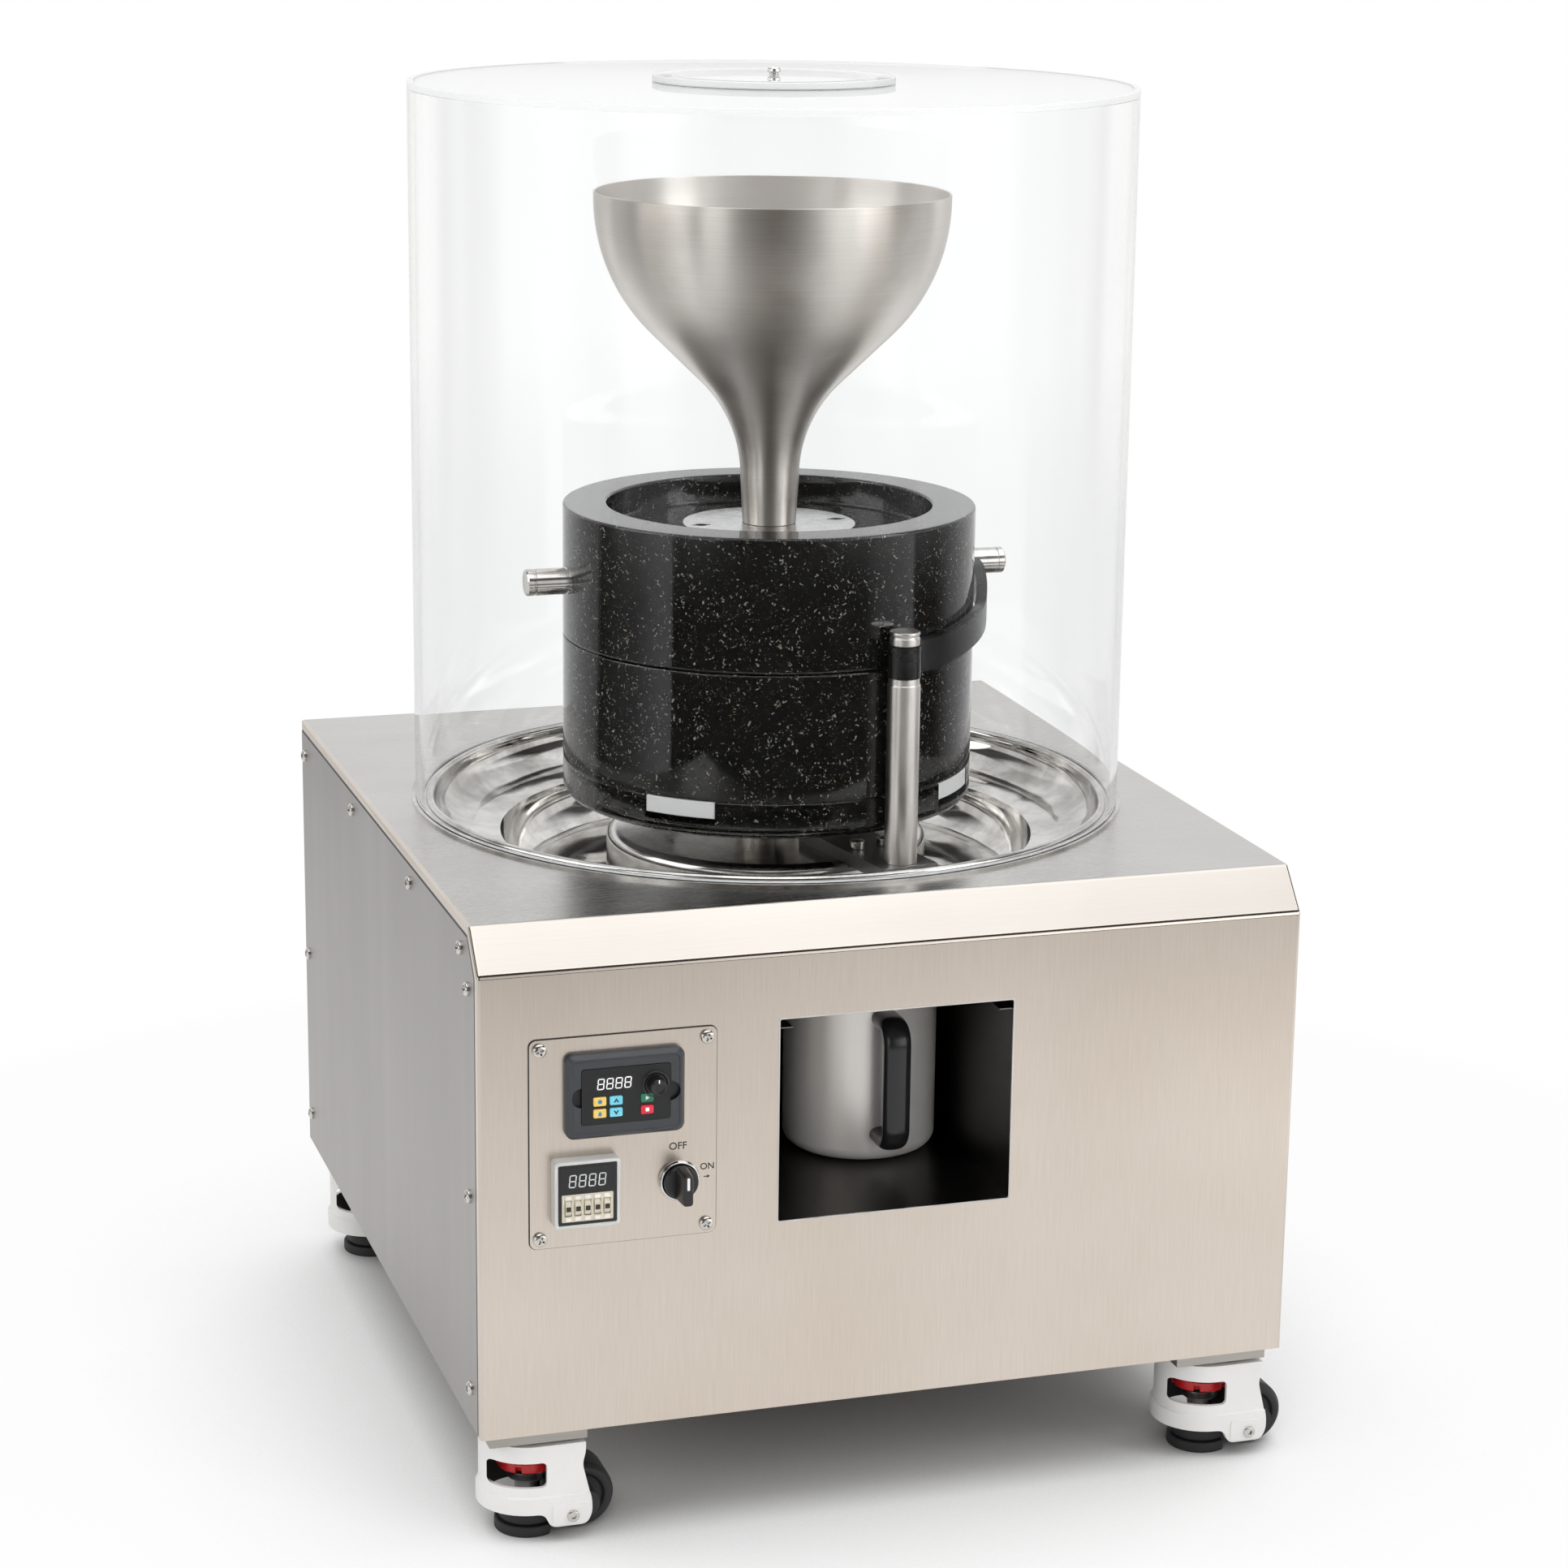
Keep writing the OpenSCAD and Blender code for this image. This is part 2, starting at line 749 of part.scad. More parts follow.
// Curved arm with a collar at the post and a rising finger at the handle pin
module stop_arm() {
    run = arm_mid_r * sin(finger_angle - arm_middle);
    z_low = z_collar;
    z_high = z_collar + collar_h;
    color([0.08, 0.08, 0.09]) difference() {
        union() {
            at_post() translate([0, 0, z_low]) cylinder(r = post_r, h = collar_h);
            intersection() {
                translate([0, 0, z_low]) rotate([0, 0, post_angle])
                    rotate_extrude(angle = finger_angle - post_angle)
                        translate([arm_in_r, 0]) square([arm_t, z_pin - z_low + pin_r]);
                rotate([0, 0, arm_middle + 90]) translate([0, 0, 0]) rotate([90, 0, 0])
                    translate([0, 0, -2 * stone_r]) linear_extrude(4 * stone_r) polygon([
                        [-run - 20, z_low], [-run + 30, z_low], [run * 0.35, z_low + 12],
                        [run * 0.8, z_pin - pin_r - 14], [run + 10, z_pin - pin_r - 8],
                        [run + 10, z_pin + pin_r * 0.6], [run * 0.85, z_pin + pin_r * 0.2],
                        [run * 0.3, z_high + 8], [-run + 30, z_high], [-run - 20, z_high]]);
            }
        }
        at_post() translate([0, 0, z_low - 1]) cylinder(r = neck_r + running_gap, h = collar_h + 2);
        at_post() translate([0, 0, z_high]) cylinder(r = post_r + 1, h = 2 * pin_rise);
    }
}

// Mill

// Turning base with four notches under the lower stone
module stone_base() {
    bevel = 10;
    color([0.07, 0.07, 0.08]) difference() {
        translate([0, 0, z_base]) rotate_extrude() polygon(concat(
            [[0, 0]],
            [for (a = [0 : 15 : 90]) [stone_r - bevel + bevel * sin(a), bevel - bevel * cos(a)]],
            [[stone_r, base_h - 0.5], [stone_r - 1, base_h], [0, base_h]]));
        translate([0, 0, z_base - 1]) cylinder(r = shaft_r + push_gap, h = pilot_h + 2);
        at_blocks() translate([stone_r - notch_depth, -notch_w / 2, z_lower - notch_h])
            cube([notch_depth + 1, notch_w, notch_h + 1]);
    }
}

// White blocks that centre the lower stone on its base
module nylon_blocks() {
    color("white") intersection() {
        translate([0, 0, z_base]) cylinder(r = stone_r - 0.5, h = base_h);
        at_blocks() translate([stone_r - notch_depth, -block_run / 2, z_lower - block_rise])
            cube([notch_depth, block_run, block_rise]);
    }
}

// The four notches round the base
module at_blocks() {
    for (i = [0:3]) rotate([0, 0, block_angle + 90 * i]) children();
}

// Driven shaft with its hub, its flange and a pilot in the base
module main_shaft() {
    shaft_end = z_frame - gearbox_h + 15;
    color("silver") union() {
        translate([0, 0, shaft_end]) cylinder(r = shaft_r, h = z_base + pilot_h - shaft_end);
        translate([0, 0, z_pedestal + seat_gap]) cylinder(r = hub_r, h = hub_h - seat_gap);
        translate([0, 0, z_base - drive_flange_t]) cylinder(r = drive_flange_r, h = drive_flange_t);
    }
}

// Lower stone, turned with its base
module lower_stone() {
    color([0.07, 0.07, 0.08]) translate([0, 0, z_lower]) turned_disc(stone_r, lower_h, 1);
}

// Upper stone with its recess, feed eye and handle holes
module upper_stone() {
    color([0.07, 0.07, 0.08]) difference() {
        translate([0, 0, z_upper]) turned_disc(stone_r, upper_h, 2);
        translate([0, 0, z_recess]) cylinder(r = recess_r, h = recess_depth + 1);
        translate([0, 0, z_upper - 1]) cylinder(r = eye_r, h = upper_h + 2);
        both_sides() translate([stone_r - pin_in, 0, z_pin]) rotate([0, 90, 0])
            cylinder(r = pin_r + push_gap, h = pin_in + 5);
    }
}

// Steel disc in the recess that seats the funnel
module feed_plate() {
    color("silver") difference() {
        translate([0, 0, z_recess]) turned_disc(feed_plate_r, feed_plate_t, 0.8);
        translate([0, 0, z_recess - 1]) cylinder(r = spigot_r + key_gap, h = feed_plate_t + 2);
        for (a = [0, 180]) rotate([0, 0, a + feed_slot_angle])
            translate([feed_plate_r - 12, 0, z_recess - 1]) cylinder(r = 4.5, h = feed_plate_t + 2);
    }
}

// Two grooved steel pins for lifting and for holding the upper stone
module handle_pins() {
    groove = 0.6;
    color("silver") both_sides() translate([stone_r - pin_in, 0, z_pin]) rotate([0, 90, 0])
        rotate_extrude() polygon([[0, 0], [pin_r, 0], [pin_r, pin_in + 2],
            [pin_r - groove, pin_in + 2.4], [pin_r - groove, pin_in + 3.4], [pin_r, pin_in + 3.8],
            [pin_r, pin_in + pin_out - 7], [pin_r - groove, pin_in + pin_out - 6.6],
            [pin_r - groove, pin_in + pin_out - 5.6], [pin_r, pin_in + pin_out - 5.2],
            [pin_r, pin_in + pin_out - 1], [pin_r - 1, pin_in + pin_out], [0, pin_in + pin_out]]);
}

// Funnel section: a straight throat, a flare, a cone and a round bowl
bowl_end_r = funnel_r - funnel_bowl_r * (1 - cos(funnel_angle));
bowl_end_z = funnel_h - funnel_lip - funnel_bowl_r * sin(funnel_angle);
flare_r = ((bowl_end_z - throat_h) * tan(funnel_angle) - (bowl_end_r - throat_r))
    / (tan(funnel_angle) * sin(funnel_angle) - (1 - cos(funnel_angle)));
function funnel_line(t) = concat(
    [[foot_r - t, 0]],
    [for (i = [0 : 6]) let (a = funnel_angle * i / 6)
        [throat_r + flare_r - (flare_r + t) * cos(a), throat_h + (flare_r + t) * sin(a)]],
    [for (i = [7 : -1 : 0]) let (a = funnel_angle * i / 7)
        [funnel_r - funnel_bowl_r + (funnel_bowl_r - t) * cos(a),
            funnel_h - funnel_lip - (funnel_bowl_r - t) * sin(a)]],
    [[funnel_r - t, funnel_h]]);

// Spun funnel with a seat and a spigot in the feed plate
module funnel() {
    color("lightgray") translate([0, 0, z_feed + seat_gap]) union() {
        rotate_extrude() polygon(concat(funnel_line(0), reversed(funnel_line(funnel_t))));
        tube(foot_r, spigot_r - funnel_t, 2);
        translate([0, 0, -spigot_h]) tube(spigot_r, spigot_r - funnel_t, spigot_h + 1);
    }
}

// Clear dome standing on the basin's flange
module dome_shell() {
    color([0.85, 0.9, 0.92, 0.3]) translate([0, 0, z_dome]) difference() {
        cylinder(r = dome_r, h = dome_h);
        translate([0, 0, -1]) cylinder(r = dome_in_r, h = dome_h - dome_t + 1);
        cylinder(r = lid_hole_r, h = dome_h + 1);
    }
}

// Loose lid with a centring lip and a small knob
module dome_lid() {
    z_lid = z_dome + dome_h + seat_gap;
    color([0.85, 0.9, 0.92, 0.4]) translate([0, 0, z_lid]) union() {
        turned_disc(lid_r, lid_t, 1);
        translate([0, 0, -lid_lip]) tube(lid_hole_r - lid_play, lid_hole_r - lid_play - 3, lid_lip + 1);
        translate([0, 0, lid_t - tiny]) rotate_extrude() polygon([[0, 0], [lid_knob_r * 0.6, 0],
            [lid_knob_r * 0.6, lid_knob_h * 0.4], [lid_knob_r, lid_knob_h * 0.55],
            [lid_knob_r, lid_knob_h * 0.9], [lid_knob_r * 0.7, lid_knob_h], [0, lid_knob_h]]);
    }
}

// Mug

// Section line of the mug, t inside its outer face
function mug_line(t) = concat(
    [[0, t]],
    [for (a = [0 : 15 : 90])
        [mug_r - mug_round + (mug_round - t) * sin(a), mug_round - (mug_round - t) * cos(a)]],
    [[mug_r - t, mug_h]]);

// Pressed steel mug
module mug_body() {
    color("silver") translate([mug_x, mug_y, z_mug]) union() {
        rotate_extrude() polygon(concat(mug_line(0), reversed(mug_line(mug_wall))));
        translate([0, 0, mug_h - 1.5]) tube(mug_r + 1, mug_r - mug_wall / 2, 1.5);
    }
}

// Bent handle at the mug's front
module mug_handle() {
    low = 16;
    high = mug_h - 12;
    mid = (low + high) / 2;
    deep = mug_r + handle_reach;
    round_out = 16;
    color([0.06, 0.06, 0.06]) translate([mug_x, mug_y, z_mug]) difference() {
        translate([-handle_w / 2, 0, 0]) rotate([90, 0, 90]) linear_extrude(handle_w) difference() {
            translate([-deep / 2, mid]) rounded_area(deep, high - low, round_out);
            translate([-deep / 2, mid])
                rounded_area(deep - 2 * handle_t, high - low - 2 * handle_t, round_out - handle_t / 2);
        }
        cylinder(r = mug_r + push_gap, h = mug_h - 1.6);
    }
}

// Control panel

// Thin plate with the cut-outs for the three instruments
module control_plate() {
    color("lightgray") difference() {
        on_front(plate_x, plate_z) rounded_plate(plate_w, plate_h, 5, plate_t);
        on_plate(surround_x, surround_z) translate([0, 0, -plate_t - 1])
            linear_extrude(plate_t + 2) square([drive_w + 2 * push_gap, drive_h + 2 * push_gap], center = true);
        on_plate(timer_x, timer_z) translate([0, 0, -plate_t - 1]) linear_extrude(plate_t + 2)
            square(timer_body_w + 2 * push_gap, center = true);
        on_plate(selector_x, selector_z) translate([0, 0, -plate_t - 1])
            cylinder(r = barrel_r + push_gap, h = plate_t + 2);
        at_plate_screws() translate([0, 0, -1]) cylinder(r = shank_r + push_gap, h = plate_t + 2);
    }
}

// Speed drive: a sloped surround in front and its case behind the plate
module drive_unit() {
    color([0.25, 0.27, 0.3]) on_plate(surround_x, surround_z) difference() {
        union() {
            hull() {
                rounded_plate(surround_w, surround_h, 6, surround_out - surround_slope, $fn = 32);
                rounded_plate(surround_w - 2 * surround_slope, surround_h - 2 * surround_slope, 5,
                    surround_out, $fn = 32);
            }
            translate([-drive_w / 2, -drive_h / 2, -drive_depth]) cube([drive_w, drive_h, drive_depth + 1]);
        }
        translate([0, 0, surround_out - pocket_d])
            rounded_plate(keypad_w + 2 * push_gap, keypad_h + 2 * push_gap, 2, pocket_d + 1);
        for (sx = [-1, 1]) translate([sx * keypad_w / 2, 0, surround_out - pocket_d + 1])
            cylinder(r = 7, h = pocket_d);
    }
}

// Black keypad with key holes, a display recess and the speed knob's ring
module keypad() {
    color([0.06, 0.06, 0.07]) on_keypad() difference() {
        union() {
            translate([0, 0, -keypad_t]) rounded_plate(keypad_w, keypad_h, 2, keypad_t);
            translate([pot_x, pot_z, -tiny]) cylinder(r = pot_ring_r, h = pot_ring_out);
        }
        for (k = keys) translate([k[1], k[2], -keypad_t / 2])
            cube([key_w + 2 * key_gap, key_h + 2 * key_gap, 2 * keypad_t], center = true);
        translate([pot_x, pot_z, -keypad_t + 0.5])
            cylinder(r = pot_stem_r + running_gap, h = keypad_t + pot_ring_out + 1);
        translate([-21.5, 3.5, -0.5]) cube([27, 10.5, 1]);
    }
}

// The keypad's front face
module on_keypad() {
    on_plate(surround_x, surround_z) translate([0, 0, surround_out - keypad_sunk]) children();
}

// One key of the keypad
module keypad_key(k) {
    color(k[3]) on_keypad() translate([k[1], k[2], key_out - key_t])
        rounded_plate(key_w, key_h, 1, key_t);
}

// Round knob for the speed
module speed_knob() {
    color([0.05, 0.05, 0.05]) on_keypad() translate([pot_x, pot_z, pot_ring_out + seat_gap]) {
        difference() {
            turned_disc(pot_knob_r, pot_knob_h, 0.6);
            translate([-0.6, 0, pot_knob_h - 0.7]) cube([1.2, pot_knob_r + 1, 2]);
        }
        translate([0, 0, -keypad_t]) cylinder(r = pot_stem_r, h = keypad_t + 1);
    }
}

// Timer with a frame, a sunk face, wheel slots, an axle rod and its case behind
module timer_case() {
    face = timer_out - timer_sunk;
    slot_w = digit_wheel_w + 2 * wheel_room;
    slot_h = 2 * (digit_wheel_r + wheel_room);
    color([0.12, 0.12, 0.13]) on_plate(timer_x, timer_z) union() {
        difference() {
            union() {
                rounded_plate(timer_w, timer_h, 2, timer_out);
                translate([-timer_body_w / 2, -timer_body_w / 2, -timer_body_depth])
                    cube([timer_body_w, timer_body_w, timer_body_depth + 1]);
            }
            translate([0, 0, face])
                rounded_plate(timer_w - 2 * timer_wall, timer_h - 2 * timer_wall, 1, timer_sunk + 1);
            for (i = [0 : wheel_count - 1]) translate([wheel_x(i), wheel_drop, face - wheel_sunk])
                cube([slot_w, slot_h, slot_h], center = true);
        }
        translate([0, wheel_drop, face - wheel_sunk]) rotate([0, 90, 0])
            cylinder(r = wheel_axle_r, h = wheel_count * wheel_pitch, center = true);
    }
}

// Place of a setting wheel across the timer
function wheel_x(i) = (i - (wheel_count - 1) / 2) * wheel_pitch;

// One setting wheel with finger notches
module timer_wheel(i) {
    notch_count = 10;
    color("ivory") on_plate(timer_x, timer_z)
        translate([wheel_x(i), wheel_drop, timer_out - timer_sunk - wheel_sunk]) rotate([0, 90, 0])
            difference() {
                cylinder(r = digit_wheel_r, h = digit_wheel_w, center = true);
                cylinder(r = wheel_axle_r + running_gap, h = digit_wheel_w + 1, center = true);
                for (n = [0 : notch_count - 1]) rotate([0, 0, 360 * (n + 0.5) / notch_count])
                    translate([digit_wheel_r + 0.6, 0, 0])
                        cylinder(r = 1, h = digit_wheel_w + 1, center = true);
            }
}

// Selector switch without its knob: ring, barrel, nut and contact block
module selector_body() {
    color("silver") on_plate(selector_x, selector_z) difference() {
        union() {
            turned_disc(selector_r, selector_ring_h, 1);
            translate([0, 0, -barrel_len]) cylinder(r = barrel_r, h = barrel_len + 1);
            translate([0, 0, -plate_t - 5]) cylinder(r = barrel_r + 3.5, h = 5);
            translate([-block_w / 2, -block_h / 2, -barrel_len - block_len])
                cube([block_w, block_h, block_len + tiny]);
        }
        translate([0, 0, -knob_stem_len - 1])
            cylinder(r = knob_stem_r + running_gap, h = knob_stem_len + selector_ring_h + 2);
    }
}

// Turning knob of the selector with an upright bar
module selector_knob() {
    color([0.05, 0.05, 0.05]) on_plate(selector_x, selector_z) translate([0, 0, selector_ring_h + seat_gap]) {
        turned_disc(knob_r, knob_h, 0.8);
        translate([-knob_bar_w / 2, -knob_r, knob_h - tiny]) cube([knob_bar_w, 2 * knob_r, selector_reach]);
        translate([0, 0, -knob_stem_len]) cylinder(r = knob_stem_r, h = knob_stem_len + 1);
    }
}

// Place of the cable gland on the rear panel, +z to the rear
module at_gland() {
    translate([gland_x, rear_y, z_cab + gland_z]) rotate([-90, 0, 0]) children();
}

// Cable gland with a locknut inside and a clamping cap outside
module cable_gland() {
    color([0.1, 0.1, 0.1]) at_gland() difference() {
        union() {
            translate([0, 0, -sheet - 8]) cylinder(r = gland_r, h = sheet + 9);
            translate([0, 0, -sheet - 5]) cylinder(r = gland_r + 4, h = 5, $fn = 6);
            cylinder(r = gland_r + 4, h = 7, $fn = 6);
            translate([0, 0, 7 - tiny]) cylinder(r = gland_r + 1.5, h = 15);
        }
        translate([0, 0, -sheet - 9]) cylinder(r = gland_bore_r, h = 40);
    }
}

// Casters

// Swivel axis of a caster
module at_corner(i) {
    s = corner_side[i];
    translate([s[0] * (half_w - caster_inset_x), s[1] * (-front_y - caster_inset_y), 0]) children();
}

// Side shape of a caster's body
module fork_side() {
    polygon([[-skirt_out - 1, z_skirt], [-skirt_out - 1, z_head + 1], [caster_trail, z_head + 1],
        [caster_trail - 3, z_head - 5], [caster_trail + 8, axle_z + 6], [caster_trail + 8, axle_z - 4],
        [caster_trail, arm_low], [window_right + 6, arm_low], [window_right + 2, arm_low + 3],
        [window_right, z_skirt]]);
}

// Plan of a caster's walls: a half round with two straight sides
module fork_plan(r) {
    circle(r);
    translate([0, -r]) square([2 * caster_trail, 2 * r]);
}

// Swivelling body of a caster
module caster_fork(i) {
    color("white") at_corner(i) difference() {
        union() {
            translate([0, 0, z_head]) linear_extrude(head_h) {
                circle(skirt_out);
                translate([0, -skirt_out]) square([caster_trail - 2, 2 * skirt_out]);
            }
            intersection() {
                linear_extrude(caster_h) difference() {
                    fork_plan(skirt_out);
                    fork_plan(skirt_in);
                }
                rotate([90, 0, 0]) translate([0, 0, -2 * skirt_out])
                    linear_extrude(4 * skirt_out) fork_side();
            }
        }
        translate([0, 0, z_head + 4]) cylinder(r = kingpin_r + running_gap, h = head_h);
        translate([0, 0, z_head - 1]) cylinder(r = stem_r + running_gap, h = head_h);
        translate([window_left, -2 * skirt_out, window_low])
            cube([window_right - window_left, 4 * skirt_out, z_head - window_low]);
        translate([caster_trail, 0, axle_z]) rotate([90, 0, 0])
            cylinder(r = axle_r + running_gap, h = 4 * skirt_out, center = true);
    }
}

// Wheel with its tyre, hub and axle
module caster_wheel(i) {
    half = wheel_w / 2;
    hub_r2 = 10;
    hub_half = skirt_in - 0.5;
    axle_half = skirt_out + 1.5;
    color([0.1, 0.1, 0.1]) at_corner(i) translate([caster_trail, 0, axle_z]) rotate([90, 0, 0])
        rotate_extrude() polygon([[0, -axle_half], [axle_r, -axle_half], [axle_r, -hub_half],
            [hub_r2, -hub_half], [hub_r2, -half + 3], [wheel_r - 8, -half + 3], [wheel_r - 6, -half],
            [wheel_r - 3, -half], [wheel_r, -half + 4], [wheel_r, half - 4], [wheel_r - 3, half],
            [wheel_r - 6, half], [wheel_r - 8, half - 3], [hub_r2, half - 3], [hub_r2, hub_half],
            [axle_r, hub_half], [axle_r, axle_half], [0, axle_half]]);
}

// Levelling foot: rubber pad, steel cup, screwed stem and adjusting ring
module caster_foot(i) {
    notch_x = caster_trail - wheel_r + 0.4;
    stem_top = caster_h - kingpin_h - pad_lift - 1;
    at_corner(i) {
        color([0.1, 0.1, 0.1]) difference() {
            turned_disc(pad_r, pad_h, 1.5);
            translate([notch_x, -wheel_w / 2 - 1.5, -1]) cube([pad_r, wheel_w + 3, pad_h + 2]);
        }
        color("gray") translate([0, 0, pad_h - tiny]) cylinder(r = cup_r, h = z_disc - pad_h + 1);
        color("gray") translate([0, 0, z_disc]) turned_disc(disc_r, disc_h, 1);
        color("gray") translate([0, 0, z_disc]) cylinder(r = stem_r, h = stem_top - z_disc);
        color("red") translate([0, 0, z_ring]) turned_disc(ring_r, ring_h, 1);
    }
}

front_top_cover();
left_side_panel();
right_side_panel();
rear_panel();
base_plate();
mill_frame();
cabinet_screws();
mug_pocket();
powder_chute();
basin();
pedestal();
spindle_bearings();
gear_motor();
post_foot_bar();
stop_post();
post_cap();
control_plate();
drive_unit();
keypad();
timer_case();
selector_body();
cable_gland();
stop_arm();
lower_stone();
stone_base();
nylon_blocks();
main_shaft();
upper_stone();
feed_plate();
handle_pins();
funnel();
dome_shell();
dome_lid();
mug_body();
mug_handle();
selector_knob();
speed_knob();
for (k = keys) keypad_key(k);
for (i = [0 : wheel_count - 1]) timer_wheel(i);
for (i = [0:3]) caster_fork(i);
for (i = [0:3]) caster_wheel(i);
for (i = [0:3]) caster_foot(i);
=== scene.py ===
import math

import bmesh
import bpy
from mathutils import Matrix, Vector


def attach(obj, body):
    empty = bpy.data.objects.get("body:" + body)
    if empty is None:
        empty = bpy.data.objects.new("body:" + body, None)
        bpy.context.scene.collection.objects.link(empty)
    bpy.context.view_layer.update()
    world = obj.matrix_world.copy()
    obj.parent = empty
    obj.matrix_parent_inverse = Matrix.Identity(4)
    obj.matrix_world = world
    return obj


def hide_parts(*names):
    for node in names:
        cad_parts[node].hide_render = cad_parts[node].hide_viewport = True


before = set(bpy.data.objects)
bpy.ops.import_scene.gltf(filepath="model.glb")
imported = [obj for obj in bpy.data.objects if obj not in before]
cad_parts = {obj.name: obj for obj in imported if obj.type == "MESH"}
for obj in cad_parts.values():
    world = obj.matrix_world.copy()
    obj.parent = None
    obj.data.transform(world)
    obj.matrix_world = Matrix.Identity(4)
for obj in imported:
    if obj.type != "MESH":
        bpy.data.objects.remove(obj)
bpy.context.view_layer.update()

# Looks of the matcha stone mill. Lengths are written in millimetres and scaled once.
MM = 0.001
scene = bpy.context.scene

# Main places of the mill, in millimetres
FRONT_Y = -320.0
Z_CAB = 87.0
Z_TOP = 449.0
HALF_W = 300.0
SLOPE_DEEP, SLOPE_DROP = 25.0, 29.0
STONE_R = 155.0
NOTCH_TURNS = [48.5 + 90 * i for i in range(4)]
POST = (52.53, -161.68, 0)
MUG = (20, -172.23, 226.3)
POCKET = (-2.5, 299.5)
PLATE = (-199.25, 298.5)
PLATE_FACE = -321.5
SURROUND = (-199.25, 332.0)
KEYPAD_FACE = -328.1
SPEED = (SURROUND[0] + 20.6, SURROUND[1] + 5.6)
TIMER = (-227.25, 264.7)
TIMER_FACE = -331.5
WHEEL_X = [TIMER[0] + (i - 2) * 6.8 for i in range(5)]
WHEEL_Y, WHEEL_Z = TIMER_FACE + 5.5, TIMER[1] - 9.5
SELECTOR = (-160.25, 264.7)
CORNERS = {"front_left": (-257, -276), "front_right": (257, -276),
           "rear_left": (-257, 276), "rear_right": (257, 276)}
CAMERA_TURN = -17.65


# Node helpers

def add(tree, kind, inputs=None, **settings):
    """One node; an input that is a socket is linked, anything else is its value."""
    made = tree.nodes.new(kind)
    for key, value in settings.items():
        setattr(made, key, value)
    for key, value in (inputs or {}).items():
        if isinstance(value, bpy.types.NodeSocket):
            tree.links.new(value, made.inputs[key])
        else:
            made.inputs[key].default_value = value
    return made


def new_finish(name, sockets):
    """A material on one Principled shader, with its constant values on the sockets."""
    finish = bpy.data.materials.new(name)
    finish.use_nodes = True
    tree = finish.node_tree
    shader = tree.nodes["Principled BSDF"]
    for key, value in sockets.items():
        shader.inputs[key].default_value = value
    return finish, tree, shader


def place_of(tree, scale=(1, 1, 1), centre=(0, 0, 0)):
    """Object coordinates, centred in millimetres and stretched."""
    place = add(tree, "ShaderNodeTexCoord").outputs["Object"]
    shift = tuple(-c * MM * s for c, s in zip(centre, scale))
    return add(tree, "ShaderNodeMapping", {"Vector": place, "Location": shift,
                                           "Scale": scale}).outputs["Vector"]


def noise(tree, vector, scale, detail=2.0, rough=0.5):
    return add(tree, "ShaderNodeTexNoise", {"Vector": vector, "Scale": scale, "Detail": detail,
                                            "Roughness": rough}).outputs["Fac"]


def span(tree, value, low, high, to_low, to_high):
    return add(tree, "ShaderNodeMapRange", {"Value": value, "From Min": low, "From Max": high,
                                            "To Min": to_low, "To Max": to_high}).outputs["Result"]


def tone(tree, factor, first, second):
    return add(tree, "ShaderNodeMix", {0: factor, 6: first, 7: second}, data_type="RGBA").outputs[2]


def sums(tree, first, second, operation="ADD"):
    return add(tree, "ShaderNodeMath", {0: first, 1: second}, operation=operation).outputs[0]


def function(tree, value, operation):
    return add(tree, "ShaderNodeMath", {0: value}, operation=operation).outputs[0]


def weighed(tree, first, share, second, other):
    """Two values added, each times its own share."""
    return sums(tree, sums(tree, first, share, "MULTIPLY"), sums(tree, second, other, "MULTIPLY"))


def relief(tree, shader, height, strength, depth):
    bump = add(tree, "ShaderNodeBump", {"Height": height, "Strength": strength, "Distance": depth})
    tree.links.new(bump.outputs["Normal"], shader.inputs["Normal"])


def paint(tree, shader, colour, rough=None):
    """Links a finish's colour and, where it varies, its roughness."""
    tree.links.new(colour, shader.inputs["Base Color"])
    if rough is not None:
        tree.links.new(rough, shader.inputs["Roughness"])


def rgb(r, g, b):
    return (r, g, b, 1.0)


# Finishes

def brushed_sheet(name, stretch, dark, light, gloss):
    """Sheet steel with hairlines along one direction, soft clouds and faint handling marks."""
    finish, tree, shader = new_finish(name, {"Metallic": 1.0})
    hairline = noise(tree, place_of(tree, stretch), 1.0, 4.0, 0.65)
    cloud = noise(tree, place_of(tree), 4.5, 3.0)
    smear = noise(tree, place_of(tree, tuple(0.03 * s for s in stretch)), 1.0, 3.0)
    shade, worn = weighed(tree, hairline, 0.45, cloud, 0.55), weighed(tree, hairline, 0.5, smear, 0.5)
    paint(tree, shader, tone(tree, span(tree, shade, 0.32, 0.68, 0, 1), dark, light),
          span(tree, worn, 0.3, 0.7, gloss - 0.03, gloss + 0.04))
    relief(tree, shader, hairline, 0.10, 0.00012)
    return finish


